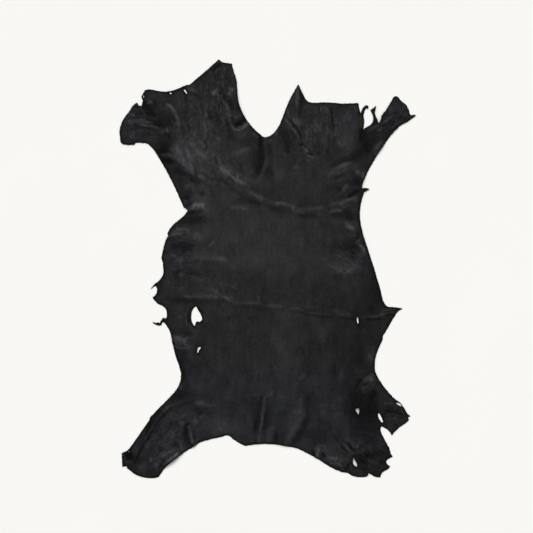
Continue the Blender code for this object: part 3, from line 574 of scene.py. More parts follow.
    ("thigh light, a", 0.5, 8, 0.25, (134, -356), (146, -359), (160, -360)),
    ("thigh light, b", 0.5, 7, 0.2, (156, -372), (146, -380), (140, -388)),
    ("thigh light, c", 0.5, 7, 0.2, (176, -386), (188, -384), (200, -388)),
    ("thigh light, d", 0.6, 10, 0.35, (104, -424), (114, -416), (124, -410)),
    ("thigh groove, a", -0.5, 7, -0.25, (130, -396), (150, -404), (170, -406)),
    ("waist spot", 1.0, 6, 0.9, (266, -295), (276, -291), (288, -286)),
    ("waist line", 1.0, 5, 0.9, (248, -323), (256, -314), (268, -306)),
    ("waist spot, upper", 0.6, 7, 0.4, (272, -274), (277, -278), (282, -280)),
    ("waist rim light", 0.8, 8, 0.5, (266, -222), (272, -232), (276, -244)),
    ("waist pit", -1.4, 16, -1.0, (270, -322), (280, -330), (284, -338)),
    ("waist pit, left", -1.2, 14, -0.9, (248, -286), (244, -304), (238, -322)),
    ("right thigh shade", -1.2, 34, -0.8, (252, -346), (268, -358), (262, -384)),
    # Right hind paw
    ("right leg light", 0.3, 14, 0.05, (308, -346), (322, -352), (336, -360)),
    ("paw groove", -1.2, 6, -0.9, (306, -374), (326, -376), (344, -379), (364, -384)),
    ("paw groove, upper", -0.7, 5, -0.6, (318, -366), (334, -370), (352, -372)),
    ("hind paw line, a", 0.7, 4, 0.3, (332, -390), (342, -394), (354, -400)),
    ("hind paw line, b", 0.7, 4, 0.3, (328, -400), (338, -402), (348, -408)),
    ("hind paw light", 0.3, 9, 0.0, (318, -390), (330, -386), (344, -388)),
    ("hind paw shade", -0.7, 8, -0.6, (332, -410), (340, -412), (348, -414)),
    # Right hind leg, its tears, its hem and its end
    ("right leg ripple, a", 0.7, 6, 0.35, (244, -430), (264, -434), (284, -440)),
    ("right leg ripple, b", -0.6, 6, -0.4, (248, -438), (266, -442), (288, -450)),
    ("tear light", 1.0, 4, 0.8, (198, -456), (210, -470), (224, -488)),
    ("tear groove, right", -0.9, 5, -0.8, (208, -454), (220, -468), (236, -484)),
    ("tear groove, left", -0.7, 4, -0.6, (194, -462), (206, -476), (218, -490)),
    ("tear line, thin", 0.7, 4, 0.5, (214, -446), (222, -458), (232, -470)),
    ("tear shade", -1.4, 12, -0.9, (206, -512), (210, -522), (216, -532)),
    ("hem pleat shine", 2.0, 4.5, 1.4, (131, -498), (134, -484), (141, -468)),
    ("hem pleat shine, tip", 0.9, 6, 0.7, (138, -470), (148, -466), (158, -472)),
    ("hem pleat pit, left", -1.6, 7, -1.0, (118, -476), (122, -486), (128, -494)),
    ("hem pleat pit, right", -1.6, 8, -1.0, (142, -484), (148, -492), (156, -498)),
    ("hem ring", 0.7, 5, 0.5, (146, -486), (150, -478), (158, -480), (158, -488)),
    ("hem shine, a", 0.8, 6, 0.5, (166, -500), (176, -502), (188, -504)),
    ("hem shine, b", 0.8, 6, 0.5, (172, -512), (184, -514), (198, -518)),
    ("hem shine, c", 0.7, 6, 0.35, (180, -494), (190, -496), (200, -498)),
    ("leg end light, a", 0.7, 6, 0.5, (262, -500), (272, -506), (284, -508)),
    ("leg end light, b", 0.6, 5, 0.35, (248, -474), (252, -480), (258, -486)),
    ("leg end light, c", 0.6, 5, 0.4, (262, -472), (270, -469), (276, -474)),
    ("leg end light, d", 0.6, 6, 0.35, (288, -462), (298, -470), (308, -476)),
    ("leg end light, e", 0.6, 6, 0.35, (264, -516), (272, -514), (280, -512)),
    ("leg end pit, a", -0.9, 7, -0.5, (276, -482), (284, -484), (290, -490)),
    ("leg end pit, b", -0.9, 8, -0.6, (292, -504), (300, -508), (308, -506)),
    ("leg end pit, c", -0.8, 7, -0.5, (244, -500), (250, -508), (256, -512)),
    ("leg end pit, d", -0.8, 8, -0.6, (258, -490), (266, -492), (272, -488)),
    # Crests darkened with painted shade against their own highlight, and the finest painted highlights, rays
    # and hatching
    ("notch crest dulled", 0, 6, -0.45, (-4, 344), (-7, 304), (-14, 262), (-30, 222)),
    ("shoulder shine, low", 0.6, 5, 0.5, (70, 152), (86, 150), (104, 150)),
    ("pleat crest dulled", 0, 8, -0.5, (-262, -364), (-284, -386), (-304, -414), (-332, -458)),
    ("flank fold dulled", 0, 13, -0.55, (-272, 92), (-246, 104), (-218, 108)),
    ("flank spot, upper", 1.0, 8, 1.2, (204, 112), (218, 111), (234, 106)),
    ("flank spot, rim", 1.0, 6, 1.4, (242, 68), (250, 58), (260, 44)),
    ("flank pit, right", -0.8, 9, -0.6, (240, 104), (240, 88), (232, 72)),
    ("flank arc", 0.5, 4, 0.4, (138, 42), (150, 22), (168, 8), (192, -2)),
    ("left neck streak, g", 0.6, 3.5, 0.6, (-196, 362), (-182, 344), (-172, 330), (-164, 318)),
    ("left arm groove, upper", -0.7, 4, -0.7, (-272, 300), (-258, 290), (-244, 276)),
    ("left arm light, right", 0.7, 7, 0.4, (-222, 330), (-208, 304), (-200, 276), (-188, 250)),
    ("dimple rim shine, glint", 0.5, 3.5, 0.7, (-93, 378), (-86, 369), (-76, 366)),
    ("shoulder streak, a", 0.4, 3.2, 0.9, (-126, 266), (-114, 256), (-104, 246)),
    ("shoulder streak, b", 0.4, 3, 0.8, (-112, 266), (-100, 254), (-88, 243)),
    ("shoulder streak, c", 0.4, 3.2, 1.0, (-99, 249), (-84, 236), (-66, 224)),
    ("shoulder streak, d", 0.4, 3, 0.8, (-84, 243), (-70, 232), (-48, 220)),
    ("shoulder streak, e", -0.3, 3, -0.5, (-106, 246), (-94, 236), (-80, 226)),
    ("right shoulder crest dulled", 0, 9, -0.2, (190, 250), (214, 256), (236, 262)),
    ("hip shine, d", 0.7, 4, 0.7, (-219, -188), (-214, -196), (-208, -202)),
    ("waist gap", -0.4, 7, -1.0, (238, -290), (250, -299), (264, -305)),
    ("flank glint, a", 0.4, 5, 0.5, (180, -8), (196, -4), (210, 6)),
    ("flank glint, b", 0.4, 5, 0.5, (200, -20), (210, -8), (224, -2)),
    ("lip crest dulled", 0, 7, -0.6, (-212, 149), (-188, 153), (-158, 158)),
    ("lip ray, a", 0.4, 3.5, 0.6, (-204, 148), (-196, 158), (-190, 170)),
    ("lip ray, b", 0.4, 3.5, 0.6, (-188, 150), (-181, 160), (-178, 172)),
    ("lip ray, c", 0.4, 3.5, 0.5, (-172, 152), (-168, 160), (-168, 172)),
    ("spur shine, top", 0.4, 3, 0.8, (296, -113), (318, -107), (344, -108)),
    ("spur shine, low", 0.4, 3, 0.7, (312, -121), (326, -116), (342, -113)),
    ("leg arc, a", 0.4, 3.2, 0.55, (-232, -392), (-218, -386), (-204, -388)),
    ("leg arc, b", -0.4, 3.2, -0.5, (-236, -402), (-222, -396), (-206, -398)),
    ("leg arc, c", 0.4, 3.2, 0.5, (-240, -410), (-226, -404), (-216, -406)),
    ("leg arc, d", -0.4, 3.2, -0.5, (-244, -422), (-232, -414), (-220, -416)),
    ("leg hatch, a", 0.4, 3, 0.7, (-240, -446), (-232, -452), (-228, -462)),
    ("leg hatch, b", -0.4, 3, -0.7, (-250, -452), (-240, -460), (-236, -470)),
    ("leg hatch, c", 0.4, 3, 0.6, (-262, -484), (-250, -478), (-240, -472)),
    ("leg hatch, d", 0.4, 3, 0.6, (-282, -498), (-270, -492), (-256, -490)),
    ("leg hatch, e", -0.4, 3, -0.6, (-290, -480), (-276, -476), (-262, -474)),
    ("leg hem hatch, a", 0.4, 3, 0.7, (-238, -480), (-240, -490), (-246, -498)),
    ("leg hem hatch, b", 0.4, 3, 0.7, (-252, -490), (-254, -500), (-260, -508)),
    ("right foreleg line", 0.5, 3.5, 0.6, (296, 356), (316, 366), (340, 382), (356, 394)),
)]

# Painted light and shade over broad areas: a lighter neck, shoulders and back, and darker flanks and thighs
LIGHT_AND_SHADE_PATCHES = (
    Patch("neck tip", -130, 500, 70, 60, -0.24),
    Patch("left neck", -150, 400, 80, 80, 0.0),
    Patch("left shoulder", -175, 290, 90, 110, 0.54),
    Patch("shoulder blade", -70, 235, 90, 50, 0.30),
    Patch("throat", -70, 315, 55, 40, 0.20),
    Patch("forepaw hollow", -322, 410, 60, 55, -0.40),
    Patch("forepaw hollow, inner", -272, 388, 45, 42, -0.35),
    Patch("paw pad", -355, 352, 40, 32, 0.10),
    Patch("foreleg back", -262, 300, 40, 45, -0.35),
    Patch("left armpit", -225, 215, 40, 50, -0.30),
    Patch("notch hollow", -12, 300, 45, 75, -0.40),
    Patch("chest", 60, 250, 150, 90, 0.16),
    Patch("right neck", 165, 370, 110, 85, 0.12),
    Patch("flap", 215, 345, 45, 50, 0.28),
    Patch("right armpit", 235, 225, 40, 45, -0.40),
    Patch("right foreleg", 315, 375, 75, 70, -0.66),
    Patch("foreleg root", 262, 320, 45, 60, -0.45),
    Patch("back", -20, 90, 250, 120, 0.33),
    Patch("withers", -110, 190, 110, 45, 0.30),
    Patch("lip", -174, 160, 62, 34, 0.36),
    Patch("left flank, upper", -205, 128, 55, 20, -0.45),
    Patch("left flank, middle", -222, 55, 60, 28, -0.30),
    Patch("left flank, lower", -215, 95, 60, 18, 0.15),
    Patch("flank hollow, right", 215, 60, 40, 35, -0.45),
    Patch("flank light, right", 208, 4, 70, 30, 0.55),
    Patch("belly band", 20, 15, 290, 48, 0.22),
    Patch("right flank", 290, -60, 60, 130, -0.45),
    Patch("right side", 235, -220, 90, 190, -0.38),
    Patch("belly, left", -130, -60, 130, 60, 0.12),
    Patch("loin, middle", 45, -220, 55, 180, 0.24),
    Patch("loin, right", 115, -250, 40, 160, -0.14),
    Patch("loin, left", -90, -290, 120, 120, 0.02),
    Patch("left waist", -235, -275, 50, 120, -0.36),
    Patch("left hip", -225, -195, 35, 20, 0.30),
    Patch("right thigh", 258, -372, 72, 105, -0.95),
    Patch("right paw", 335, -385, 50, 50, -0.32),
    Patch("right leg end", 275, -500, 75, 60, -0.75),
    Patch("rump, left", -115, -415, 80, 45, 0.42),
    Patch("rump hollow", -16, -395, 34, 75, -0.45),
    Patch("rump crest", 70, -380, 20, 90, 0.12),
    Patch("rump, right", 130, -420, 50, 60, -0.20),
    Patch("left leg strip", -305, -420, 45, 90, -0.30),
    Patch("left leg", -275, -470, 60, 60, 0.16),
    Patch("left foot", -350, -505, 30, 30, -0.50),
    Patch("foreleg notch", 252, 350, 26, 34, -0.35),
    Patch("hem", 180, -505, 48, 26, 0.40),
    Patch("arm hollow", -266, 322, 40, 54, -0.6),
    Patch("right waist", 276, -228, 26, 46, 0.35),
    Patch("right shoulder", 206, 262, 60, 30, 0.12),
    Patch("forepaw pad", -345, 375, 50, 50, -0.10),
    Patch("back, left", -170, 90, 90, 90, 0.16),
    Patch("belly, right", 170, -90, 110, 60, -0.14),
)

# Fine wrinkles: where they lie, which way they run from +Y in degrees, and how strong they are
WRINKLES = (
    Wrinkles("left neck", -170, 400, 150, 150, -8, 1.05),
    Wrinkles("neck tip", -125, 500, 80, 90, 20, 1.5),
    Wrinkles("left shoulder", -170, 260, 110, 90, -38, 0.7),
    Wrinkles("shoulder blade", -70, 250, 90, 80, -45, 0.5),
    Wrinkles("chest", 30, 270, 110, 90, 12, 0.25),
    Wrinkles("right neck", 130, 360, 120, 110, -14, 1.1),
    Wrinkles("right shoulder", 190, 260, 90, 80, 62, 0.35),
    Wrinkles("right foreleg", 325, 385, 90, 85, 46, 1.35),
    Wrinkles("left forepaw", -330, 385, 90, 85, -78, 0.85),
    Wrinkles("back", 0, 90, 260, 110, 4, 0.22),
    Wrinkles("left flank", -225, 20, 80, 130, 78, 0.9),
    Wrinkles("right flank", 225, 40, 80, 110, -55, 0.9),
    Wrinkles("belly", -120, -60, 150, 90, -35, 0.5),
    Wrinkles("loin", 20, -240, 260, 170, 2, 0.12),
    Wrinkles("left hip", -225, -190, 70, 80, 60, 0.5),
    Wrinkles("left leg", -270, -440, 120, 130, 34, 0.95),
    Wrinkles("rump", 20, -410, 150, 90, 6, 0.25),
    Wrinkles("right thigh", 220, -360, 110, 130, -18, 0.4),
    Wrinkles("right leg end", 260, -490, 90, 80, -60, 1.35),
    Wrinkles("right paw", 335, -380, 65, 65, -72, 1.2),
    Wrinkles("left waist", -240, -290, 50, 110, 25, 0.7),
    Wrinkles("hem", 185, -508, 60, 32, -35, 1.2),
    Wrinkles("flap end", 215, 400, 45, 55, 30, 0.6),
)

# Where a cool tint of reflected light is painted into the colour
COOL_REFLECTION = (
    Patch("hind part", 0, -390, 470, 240, 0.9),
    Patch("left hip", -232, -235, 62, 135, 0.9),
    Patch("flap end", 215, 395, 48, 60, 0.7),
    Patch("armpits", -172, 160, 70, 40, 0.6),
    Patch("right armpit", 240, 245, 40, 40, 0.6),
    Patch("left leg", -290, -450, 110, 130, 0.5),
    Patch("right leg", 290, -430, 110, 130, 0.6),
    Patch("leg end", 280, -500, 80, 70, -0.7),
    Patch("left flank", -235, 30, 55, 90, 0.7),
    Patch("right flank", 235, 10, 60, 80, 0.5),
    Patch("left forepaw", -350, 375, 70, 80, 0.8),
    Patch("right foreleg", 330, 385, 90, 90, 0.9),
    Patch("left arm", -220, 290, 45, 60, 0.8),
    Patch("shoulder ridge", -80, 240, 60, 40, 0.6),
)

# How the raw edge wanders, height and spacing in millimetres, and how far it lies outside its drawn line
FRAY = ((0.8, 6), (0.7, 2.6))
FULLER = 0.7
LOOPS_APART = 0.1

# Where clamps left their marks along the edge: depth and pitch in millimetres
COMBED = {"foreleg, underside": (0.9, 10.5), "right flank": (1.0, 8.0), "right waist": (0.6, 9.0)}
COMB_FADE = 0.12

# Towards the raw edge the skin gets thinner by this share, and gets this much painted shade
THINNER_RIM = 0.3
RIM_TAPER = 8 * MM
RIM_PAINTED_SHADE = 1.6
RIM_PAINTED_SHADE_TAPER = 2.8 * MM

# How the skin lies where it isn't folded: height, then how far apart its rises are in x and in y
LOOSENESS = ((1.15, 90, 80), (0.55, 34, 40), (0.25, 16, 34))
LOOSE_LAYERS_APART = 7.3

# Wrinkles: height in millimetres, then how far apart they are across and along, and how wide each line is
WRINKLE_LAYERS = ((0.50, 12, 40), (0.30, 6.5, 16))
WRINKLE_LAYERS_APART = 3.1
WRINKLE_WIDTH = 0.30
# How high a wrinkle line stands, in millimetres, above which it gets painted highlight and below which
# painted shade, and how much
WRINKLE_MIDDLE = 0.12
WRINKLE_PAINTED_HIGHLIGHT = 0.7

# The four ways in which the material's fine lines can run, in degrees from +Y
LINE_WAYS = {"lines_0": 0, "lines_45": 45, "lines_90": 90, "lines_135": 135}
WAYS_APART = 45

# How far a crease strays from its path and how its strength comes and goes along it
WANDER = ((2.2, 17), (1.0, 6.5))
WANDER_LAYER, WANDER_AXES_APART = 20, 5
STREAK_APART = (4, 9)
STREAK_MIDDLE, STREAK_SWING = 0.95, 0.8
STREAK_LAYER = 31
# The most painted light and the most painted shade that any place gets
MOST_PAINTED_LIGHT_SHADE = 1.2

# Patterns of the materials: how many millimetres one unit is in x, y and z
WARP = (3, 3, 3)
PEBBLES = (1.05, 0.9, 1)
PORES = (0.35, 0.35, 0.35)
LONG_WRINKLES = (7, 17, 9)
SHORT_WRINKLES = (3.2, 4.6, 4)
MOTTLE = (38, 46, 40)
STREAKS = (13, 80, 40)
SPECKS = (6, 7, 7)
LINE_NET = (6.5, 22, 14)
CRINKLES = (4, 14, 9)
SOFT_LUMPS = (9, 16, 12)
NAP = (0.5, 0.5, 0.5)
BRUSHED = (14, 60, 30)
VEINS = (55, 120, 60)
FIBRES = (0.6, 0.6, 0.18)
FLOOR_GRAIN = (400, 400, 400)

# How far the pebbles are pushed about, how wide the grooves between them are, in units of a pebble, and what
# the painted light and shade, the painted shade of the fine grooves, the crinkles and the nap add to a tone,
# which runs from 0 to 1, or to a relief
WARPED = 0.7
PEBBLE_GROOVE = 0.28
MIDDLE_TONE = 0.5
PAINTED_LIGHT_SHADE_TONE = 0.45
FINE_GROOVE_PAINTED_SHADE = 0.22
CRINKLE_RELIEF = 1.6
NAP_SHARE = 0.35

# Colours from the darkest tone to the lightest: a tone, then red, green and blue. The second set for the
# grain carries a painted cool tint of reflected light.
NEUTRAL_DYE = (
    (0.0, (0.0010, 0.0010, 0.0012)), (0.32, (0.0085, 0.0086, 0.0090)), (0.5, (0.0176, 0.0176, 0.0177)),
    (0.75, (0.0320, 0.0320, 0.0321)), (1.0, (0.0560, 0.0560, 0.0566)),
)
COOL_REFLECTION_DYE = (
    (0.0, (0.0008, 0.0009, 0.0016)), (0.32, (0.0078, 0.0082, 0.0107)), (0.5, (0.0166, 0.0172, 0.0206)),
    (0.75, (0.0308, 0.0316, 0.0358)), (1.0, (0.0545, 0.0557, 0.0610)),
)
SUEDE = ((0.25, (0.012, 0.012, 0.013)), (0.5, (0.027, 0.027, 0.028)), (0.8, (0.060, 0.059, 0.058)))
CUT_EDGE = ((0.3, (0.006, 0.006, 0.006)), (0.7, (0.024, 0.023, 0.022)))
PALE_FLOOR = ((0.2, (0.874, 0.866, 0.834)), (0.8, (0.886, 0.878, 0.846)))

# The camera looks straight down, and the 533 pixels across show this width of floor
VIEW_WIDTH = 1.402
LENS = 85
SENSOR = 36
CAMERA_X = -3.0 * MM
CAMERA_Y = 6.2 * MM
FLOOR_GAP = 0.3 * MM
FLOOR_SIZE = 12.0

# Lights: degrees clockwise from +Y, degrees up, how wide each looks in degrees, and its strength
LIGHTS = (
    Light("north softbox", 350, 37, 44, 2.55),
    Light("south-east softbox", 135, 42, 44, 1.30),
    Light("west softbox", 285, 32, 40, 1.05),
)
ROOM_LIGHT = 0.13


def smooth_line(points, step, closed=False):
    """Points about step apart on a smooth curve through the given ones. An open curve keeps both its ends."""
    knots = [Vector(point) for point in points]
    count = len(knots)
    line = []
    for i in range(count if closed else count - 1):
        a, b = knots[i], knots[(i + 1) % count]
        before = knots[i - 1] if closed or i else a
        after = knots[(i + 2) % count] if closed or i + 2 < count else b
        reach = (b - a).length / 3
        leave = a + (b - before).normalized() * reach
        arrive = b - (after - a).normalized() * reach
        pieces = max(1, round((b - a).length / step))
        line += [p.to_2d() for p in interpolate_bezier(a, leave, arrive, b, pieces + 1)[:-1]]
    if not closed:
        line.append(knots[-1])
    return np.array(line)


def hide_scale():
    """The share by which the drawn tables are scaled, so that the hide is as long as it should be."""
    drawn = [y for stretch in EDGE for _, y in stretch.points]
    return HIDE_LENGTH / ((max(drawn) - min(drawn)) * MM)


def middle():
    """The middle of the drawn outline's box, which is the origin."""
    drawn = np.array([point for stretch in EDGE for point in stretch.points])
    return (drawn.max(axis=0) + drawn.min(axis=0)) / 2


def placed(points):
    """Drawn millimetres to metres about the origin."""
    return (np.array(points, float) - middle()) * MM * hide_scale()


def leftward_of(line, closed=False):
    """A unit vector to the left of the line at each of its points."""
    if closed:
        ahead = np.roll(line, -1, axis=0) - np.roll(line, 1, axis=0)
    else:
        ahead = np.gradient(line, axis=0)
    ahead /= np.maximum(np.linalg.norm(ahead, axis=1, keepdims=True), MERGE_GAP)
    return ahead[:, ::-1] * (-1, 1)


def combed(line, depth, pitch):
    """The line with a row of shallow clamp marks, deepest along its middle."""
    steps = np.linalg.norm(np.diff(line, axis=0), axis=1)
    run = np.concatenate(([0], np.cumsum(steps)))
    share = run / run[-1]
    fade = np.clip(np.minimum(share, 1 - share) / COMB_FADE, 0, 1)
    mark = np.abs(np.sin(math.pi * run / (pitch * MM))) - 0.5
    return line + leftward_of(line) * (fade * mark * depth * MM)[:, None]


def frayed(loop, layer):
    """The loop, moved in and out by a little noise."""
    amount = np.full(len(loop), FULLER * MM)
    for height, apart in FRAY:
        spots = np.column_stack((loop, np.full(len(loop), layer))) / (apart * MM)
        amount += height * MM * np.array([noise.noise(Vector(spot)) for spot in spots])
    return loop + leftward_of(loop, closed=True) * amount[:, None]


def rims():
    """The outline and the holes, each as one closed loop."""
    rounds = []
    for stretch, after in zip(EDGE, EDGE[1:] + EDGE[:1]):
        line = smooth_line(placed(stretch.points + after.points[:1]), RIM_STEP)
        if stretch.name in COMBED:
            line = combed(line, *COMBED[stretch.name])
        rounds.append(line[:-1])
    loops = [np.concatenate(rounds)]
    loops += [smooth_line(placed(hole.points), RIM_STEP, closed=True) for hole in HOLES]
    return [frayed(loop, LOOPS_APART * k) for k, loop in enumerate(loops)]


def bump(share):
    """A smooth rise from 0 at a share of 1 or more to 1 at a share of 0."""
    return np.clip(1 - share**2, 0, 1) ** 2


def round_bump(area, places):
    """A smooth rise over an area's own place and reach."""
    away = (places - placed([(area.x, area.y)])) / (np.array([area.reach_x, area.reach_y]) * MM)
    return bump(np.hypot(*away.T))


def along_path(path, left, right, places, end_fade=FOLD_FADE):
    """Which places a fold or crease reaches, and its profile there, which fades towards both ends."""
    line = smooth_line(placed(path), LINE_STEP)
    wide = max(left, right) * MM
    in_box = (places > line.min(axis=0) - wide) & (places < line.max(axis=0) + wide)
    close = np.flatnonzero(in_box.all(axis=1))
    if not len(close):
        return close, np.zeros(0)
    leftward = leftward_of(line)
    gaps = places[close][:, None] - line
    near = (gaps**2).sum(axis=2).argmin(axis=1)
    gap = gaps[np.arange(len(close)), near]
    aside = (gap * leftward[near]).sum(axis=1)
    onward = gap[:, 0] * leftward[near, 1] - gap[:, 1] * leftward[near, 0]
    past = np.maximum(np.abs(onward) - LINE_STEP / 2, 0)
    along = np.clip((near + np.clip(onward / LINE_STEP, -0.5, 0.5)) / (len(line) - 1), 0, 1)
    full = bump(1 - np.clip(np.minimum(along, 1 - along) / end_fade, 0, 1))
    reach = np.where(aside > 0, left, right) * MM * (END_WIDTH + (1 - END_WIDTH) * full)
    return close, full * bump(np.hypot(aside, past) / reach)


def relief(places):
    """How high the solid's underside stands over the floor."""
    raw = np.zeros(len(places))
    for swell in SWELLS:
        raw += swell.height * MM * round_bump(swell, places)
    for fold in FOLDS:
        close, profile = along_path(fold.path, fold.left, fold.right, places)
        raw[close] += fold.height * MM * profile
    raw = np.maximum(raw, 0)
    return raw**2 / (raw + FLOOR_EASE)


def waves(places, apart_x, apart_y, layer):
    """Smooth noise with its rises about so many millimetres apart. Each layer is another draw of it."""
    spots = places / (np.array([apart_x, apart_y]) * MM)
    return np.array([noise.noise(Vector((x, y, layer))) for x, y in spots])


def wrinkles(places):
    """The height of ridged lines in millimetres, strongest in the middle of each wrinkled area."""
    raw = np.zeros(len(places))
    for k, area in enumerate(WRINKLES):
        weight = round_bump(area, places) * area.strength
        close = np.flatnonzero(weight > 0)
        turn = math.radians(area.along)
        cos, sin = math.cos(turn), math.sin(turn)
        turned = places[close] @ np.array([[cos, sin], [-sin, cos]])
        for height, across, along in WRINKLE_LAYERS:
            away = np.abs(waves(turned, across, along, WRINKLE_LAYERS_APART * k + across))
            raw[close] += height * weight[close] * np.clip(1 - away / WRINKLE_WIDTH, 0, 1)
    return raw


def wandered(places):
    """The places moved a little, so that what is drawn on them isn't straight."""
    moved = places.copy()
    for far, apart in WANDER:
        for axis in (0, 1):
            layer = WANDER_LAYER + WANDER_AXES_APART * axis + far
            moved[:, axis] += far * MM * waves(places, apart, apart, layer)
    return moved


def looseness(places):
    """The gentle rise and fall of a skin that is only laid down."""
    return sum(height * MM * waves(places, x, y, LOOSE_LAYERS_APART * k)
               for k, (height, x, y) in enumerate(LOOSENESS))


def add_creases(raw, places, column, unit=1):
    """Add each crease's height, or its painted light and shade, to the places that it reaches, uneven along
    its length.
    """
    moved = wandered(places)
    streaked = STREAK_MIDDLE + STREAK_SWING * waves(places, *STREAK_APART, STREAK_LAYER)
    for crease in CREASES:
        close, profile = along_path(crease.path, crease.reach, crease.reach, moved, CREASE_FADE)
        raw[close] += getattr(crease, column) * unit * profile * streaked[close]


def underside(places):
    """The height of the flesh side: the solid's folds, the narrow creases on them and the looseness."""
    raw = relief(places) + looseness(places) + wrinkles(places) * MM
    add_creases(raw, places, "height", MM)
    raw = np.maximum(raw, 0)
    return raw**2 / (raw + LIFT_EASE)


def burnish(places, to_rim):
    """Painted light and shade at each place: painted shade below 0, darker and duller, and painted highlight
    above 0, lighter and glossier.
    """
    # Painted shade along the raw edge and round the holes
    raw = -RIM_PAINTED_SHADE * np.exp(-to_rim / RIM_PAINTED_SHADE_TAPER)
    # Painted light and shade over broad areas
    for patch in LIGHT_AND_SHADE_PATCHES:
        raw += patch.amount * round_bump(patch, places)
    # Painted highlight on the raised wrinkle lines, and painted shade between them
    raw += WRINKLE_PAINTED_HIGHLIGHT * (wrinkles(places) - WRINKLE_MIDDLE)
    # Painted highlights and painted shade along the creases
    add_creases(raw, places, "burnish")
    return np.clip(raw, -MOST_PAINTED_LIGHT_SHADE, MOST_PAINTED_LIGHT_SHADE)


def painted_cool_reflection(places):
    """How much painted cool tint of reflected light each place gets, from 0 to 1."""
    return np.clip(sum(patch.amount * round_bump(patch, places) for patch in COOL_REFLECTION), 0, 1)


def lie(places):
    """How strongly the fine lines run each of the four ways. An area's own way is shared between two."""
    found = np.zeros((len(LINE_WAYS), len(places)))
    for area in WRINKLES:
        weight = round_bump(area, places) * area.strength
        turn = area.along / WAYS_APART % len(LINE_WAYS)
        lower = int(turn)
        found[lower] += weight * (1 - turn % 1)
        found[(lower + 1) % len(LINE_WAYS)] += weight * (turn % 1)
    return found


def inside(places, loops):
    """True where a place lies within the outline and in no hole."""
    found = np.zeros(len(places), bool)
    x, y = places.T
    for loop in loops:
        for (ax, ay), (bx, by) in zip(loop, np.roll(loop, -1, axis=0)):
            if ay == by:
                continue
            crosses = (ay > y) != (by > y)
            found ^= crosses & (x < ax + (y - ay) * (bx - ax) / (by - ay))
    return found


def lattice(loop, step):
    """A staggered lattice over the outline's box."""
    (low_x, low_y), (high_x, high_y) = loop.min(axis=0), loop.max(axis=0)
    found = []
    for row, y in enumerate(np.arange(low_y, high_y, step * math.sqrt(3) / 2)):
        xs = np.arange(low_x + step / 2 * (row % 2), high_x, step)
        found.append(np.column_stack((xs, np.full(len(xs), y))))
    return np.concatenate(found)


def creased(places):
    """True near a crease or a fold, where the mesh is fine."""
    found = np.zeros(len(places), bool)
    paths = [(crease.path, crease.reach, crease.reach) for crease in CREASES]
    paths += [(fold.path, fold.left, fold.right) for fold in FOLDS]
    for path, left, right in paths:
        close, profile = along_path(path, left, right, places)
        found[close] |= profile > 0
    return found


def crease_points():
    """Points on each crease's path and to both sides of it."""
    found = []
    for crease in CREASES:
        line = smooth_line(placed(crease.path), CREASED_STEP)
        leftward = leftward_of(line)
        for row in CREASE_ROWS:
            found.append(line + leftward * crease.reach * MM * row)
            found.append(line - leftward * crease.reach * MM * row)
    return np.concatenate(found)


def spread_out(taken, wanted, gap):
    """The taken points, and the wanted ones that keep the gap to them and to each other."""
    cells = {}
    kept = list(map(tuple, taken))
    for x, y in kept:
        cells.setdefault((int(x // gap), int(y // gap)), []).append((x, y))
    for x, y in wanted:
        column, row = int(x // gap), int(y // gap)
        beside = [p for i in (-1, 0, 1) for j in (-1, 0, 1) for p in cells.get((column + i, row + j), ())]
        if all((x - px) ** 2 + (y - py) ** 2 > gap**2 for px, py in beside):
            kept.append((x, y))
            cells.setdefault((column, row), []).append((x, y))
    return np.array(kept)


def filled(loops):
    """The hide from above as points and triangles, fine near creases and coarser between them."""
    edges = []
    start = 0
    for loop in loops:
        count = len(loop)
        edges += [(start + i, start + (i + 1) % count) for i in range(count)]
        start += count
    on_creases = crease_points()
    fine = lattice(loops[0], CREASED_STEP)
    fine = fine[inside(fine, loops)]
    plain = lattice(loops[0], PLAIN_STEP)
    wanted = (
        (on_creases[inside(on_creases, loops)], CREASED_STEP),
        (fine[creased(fine)], CREASED_STEP),
        (plain[inside(plain, loops)], PLAIN_STEP),
    )
    points = np.concatenate(loops)
    for places, step in wanted:
        points = spread_out(points, places, step * CLOSEST_POINTS)
    knots, _, faces, *_ = delaunay_2d_cdt([Vector(p) for p in points], edges, [], 0, MERGE_GAP, False)
    knots = np.array(knots)
    faces = np.array(faces)
    return knots, faces[inside(knots[faces].mean(axis=1), loops)]


def point_normals(points, faces):
    """A unit vector square to the triangles round each point."""
    a, b, c = points[faces].transpose(1, 0, 2)
    across = np.cross(b - a, c - a)
    normals = np.zeros_like(points)
    for corner in range(3):
        np.add.at(normals, faces[:, corner], across)
    return normals / np.linalg.norm(normals, axis=1, keepdims=True)


def rim_distance(places, loops):
    """How far each place is from the raw edge or a hole."""
    tree = kdtree.KDTree(sum(len(loop) for loop in loops))
    for index, (x, y) in enumerate(np.concatenate(loops)):
        tree.insert((x, y, 0), index)
    tree.balance()
    return np.array([tree.find((x, y, 0))[2] for x, y in places])


def open_edges(faces):
    """The edges that only one triangle has, running with that triangle on their left."""
    edges = np.concatenate((faces[:, (0, 1)], faces[:, (1, 2)], faces[:, (2, 0)]))
    taken = set(map(tuple, edges.tolist()))
    return np.array([(a, b) for a, b in edges.tolist() if (b, a) not in taken])


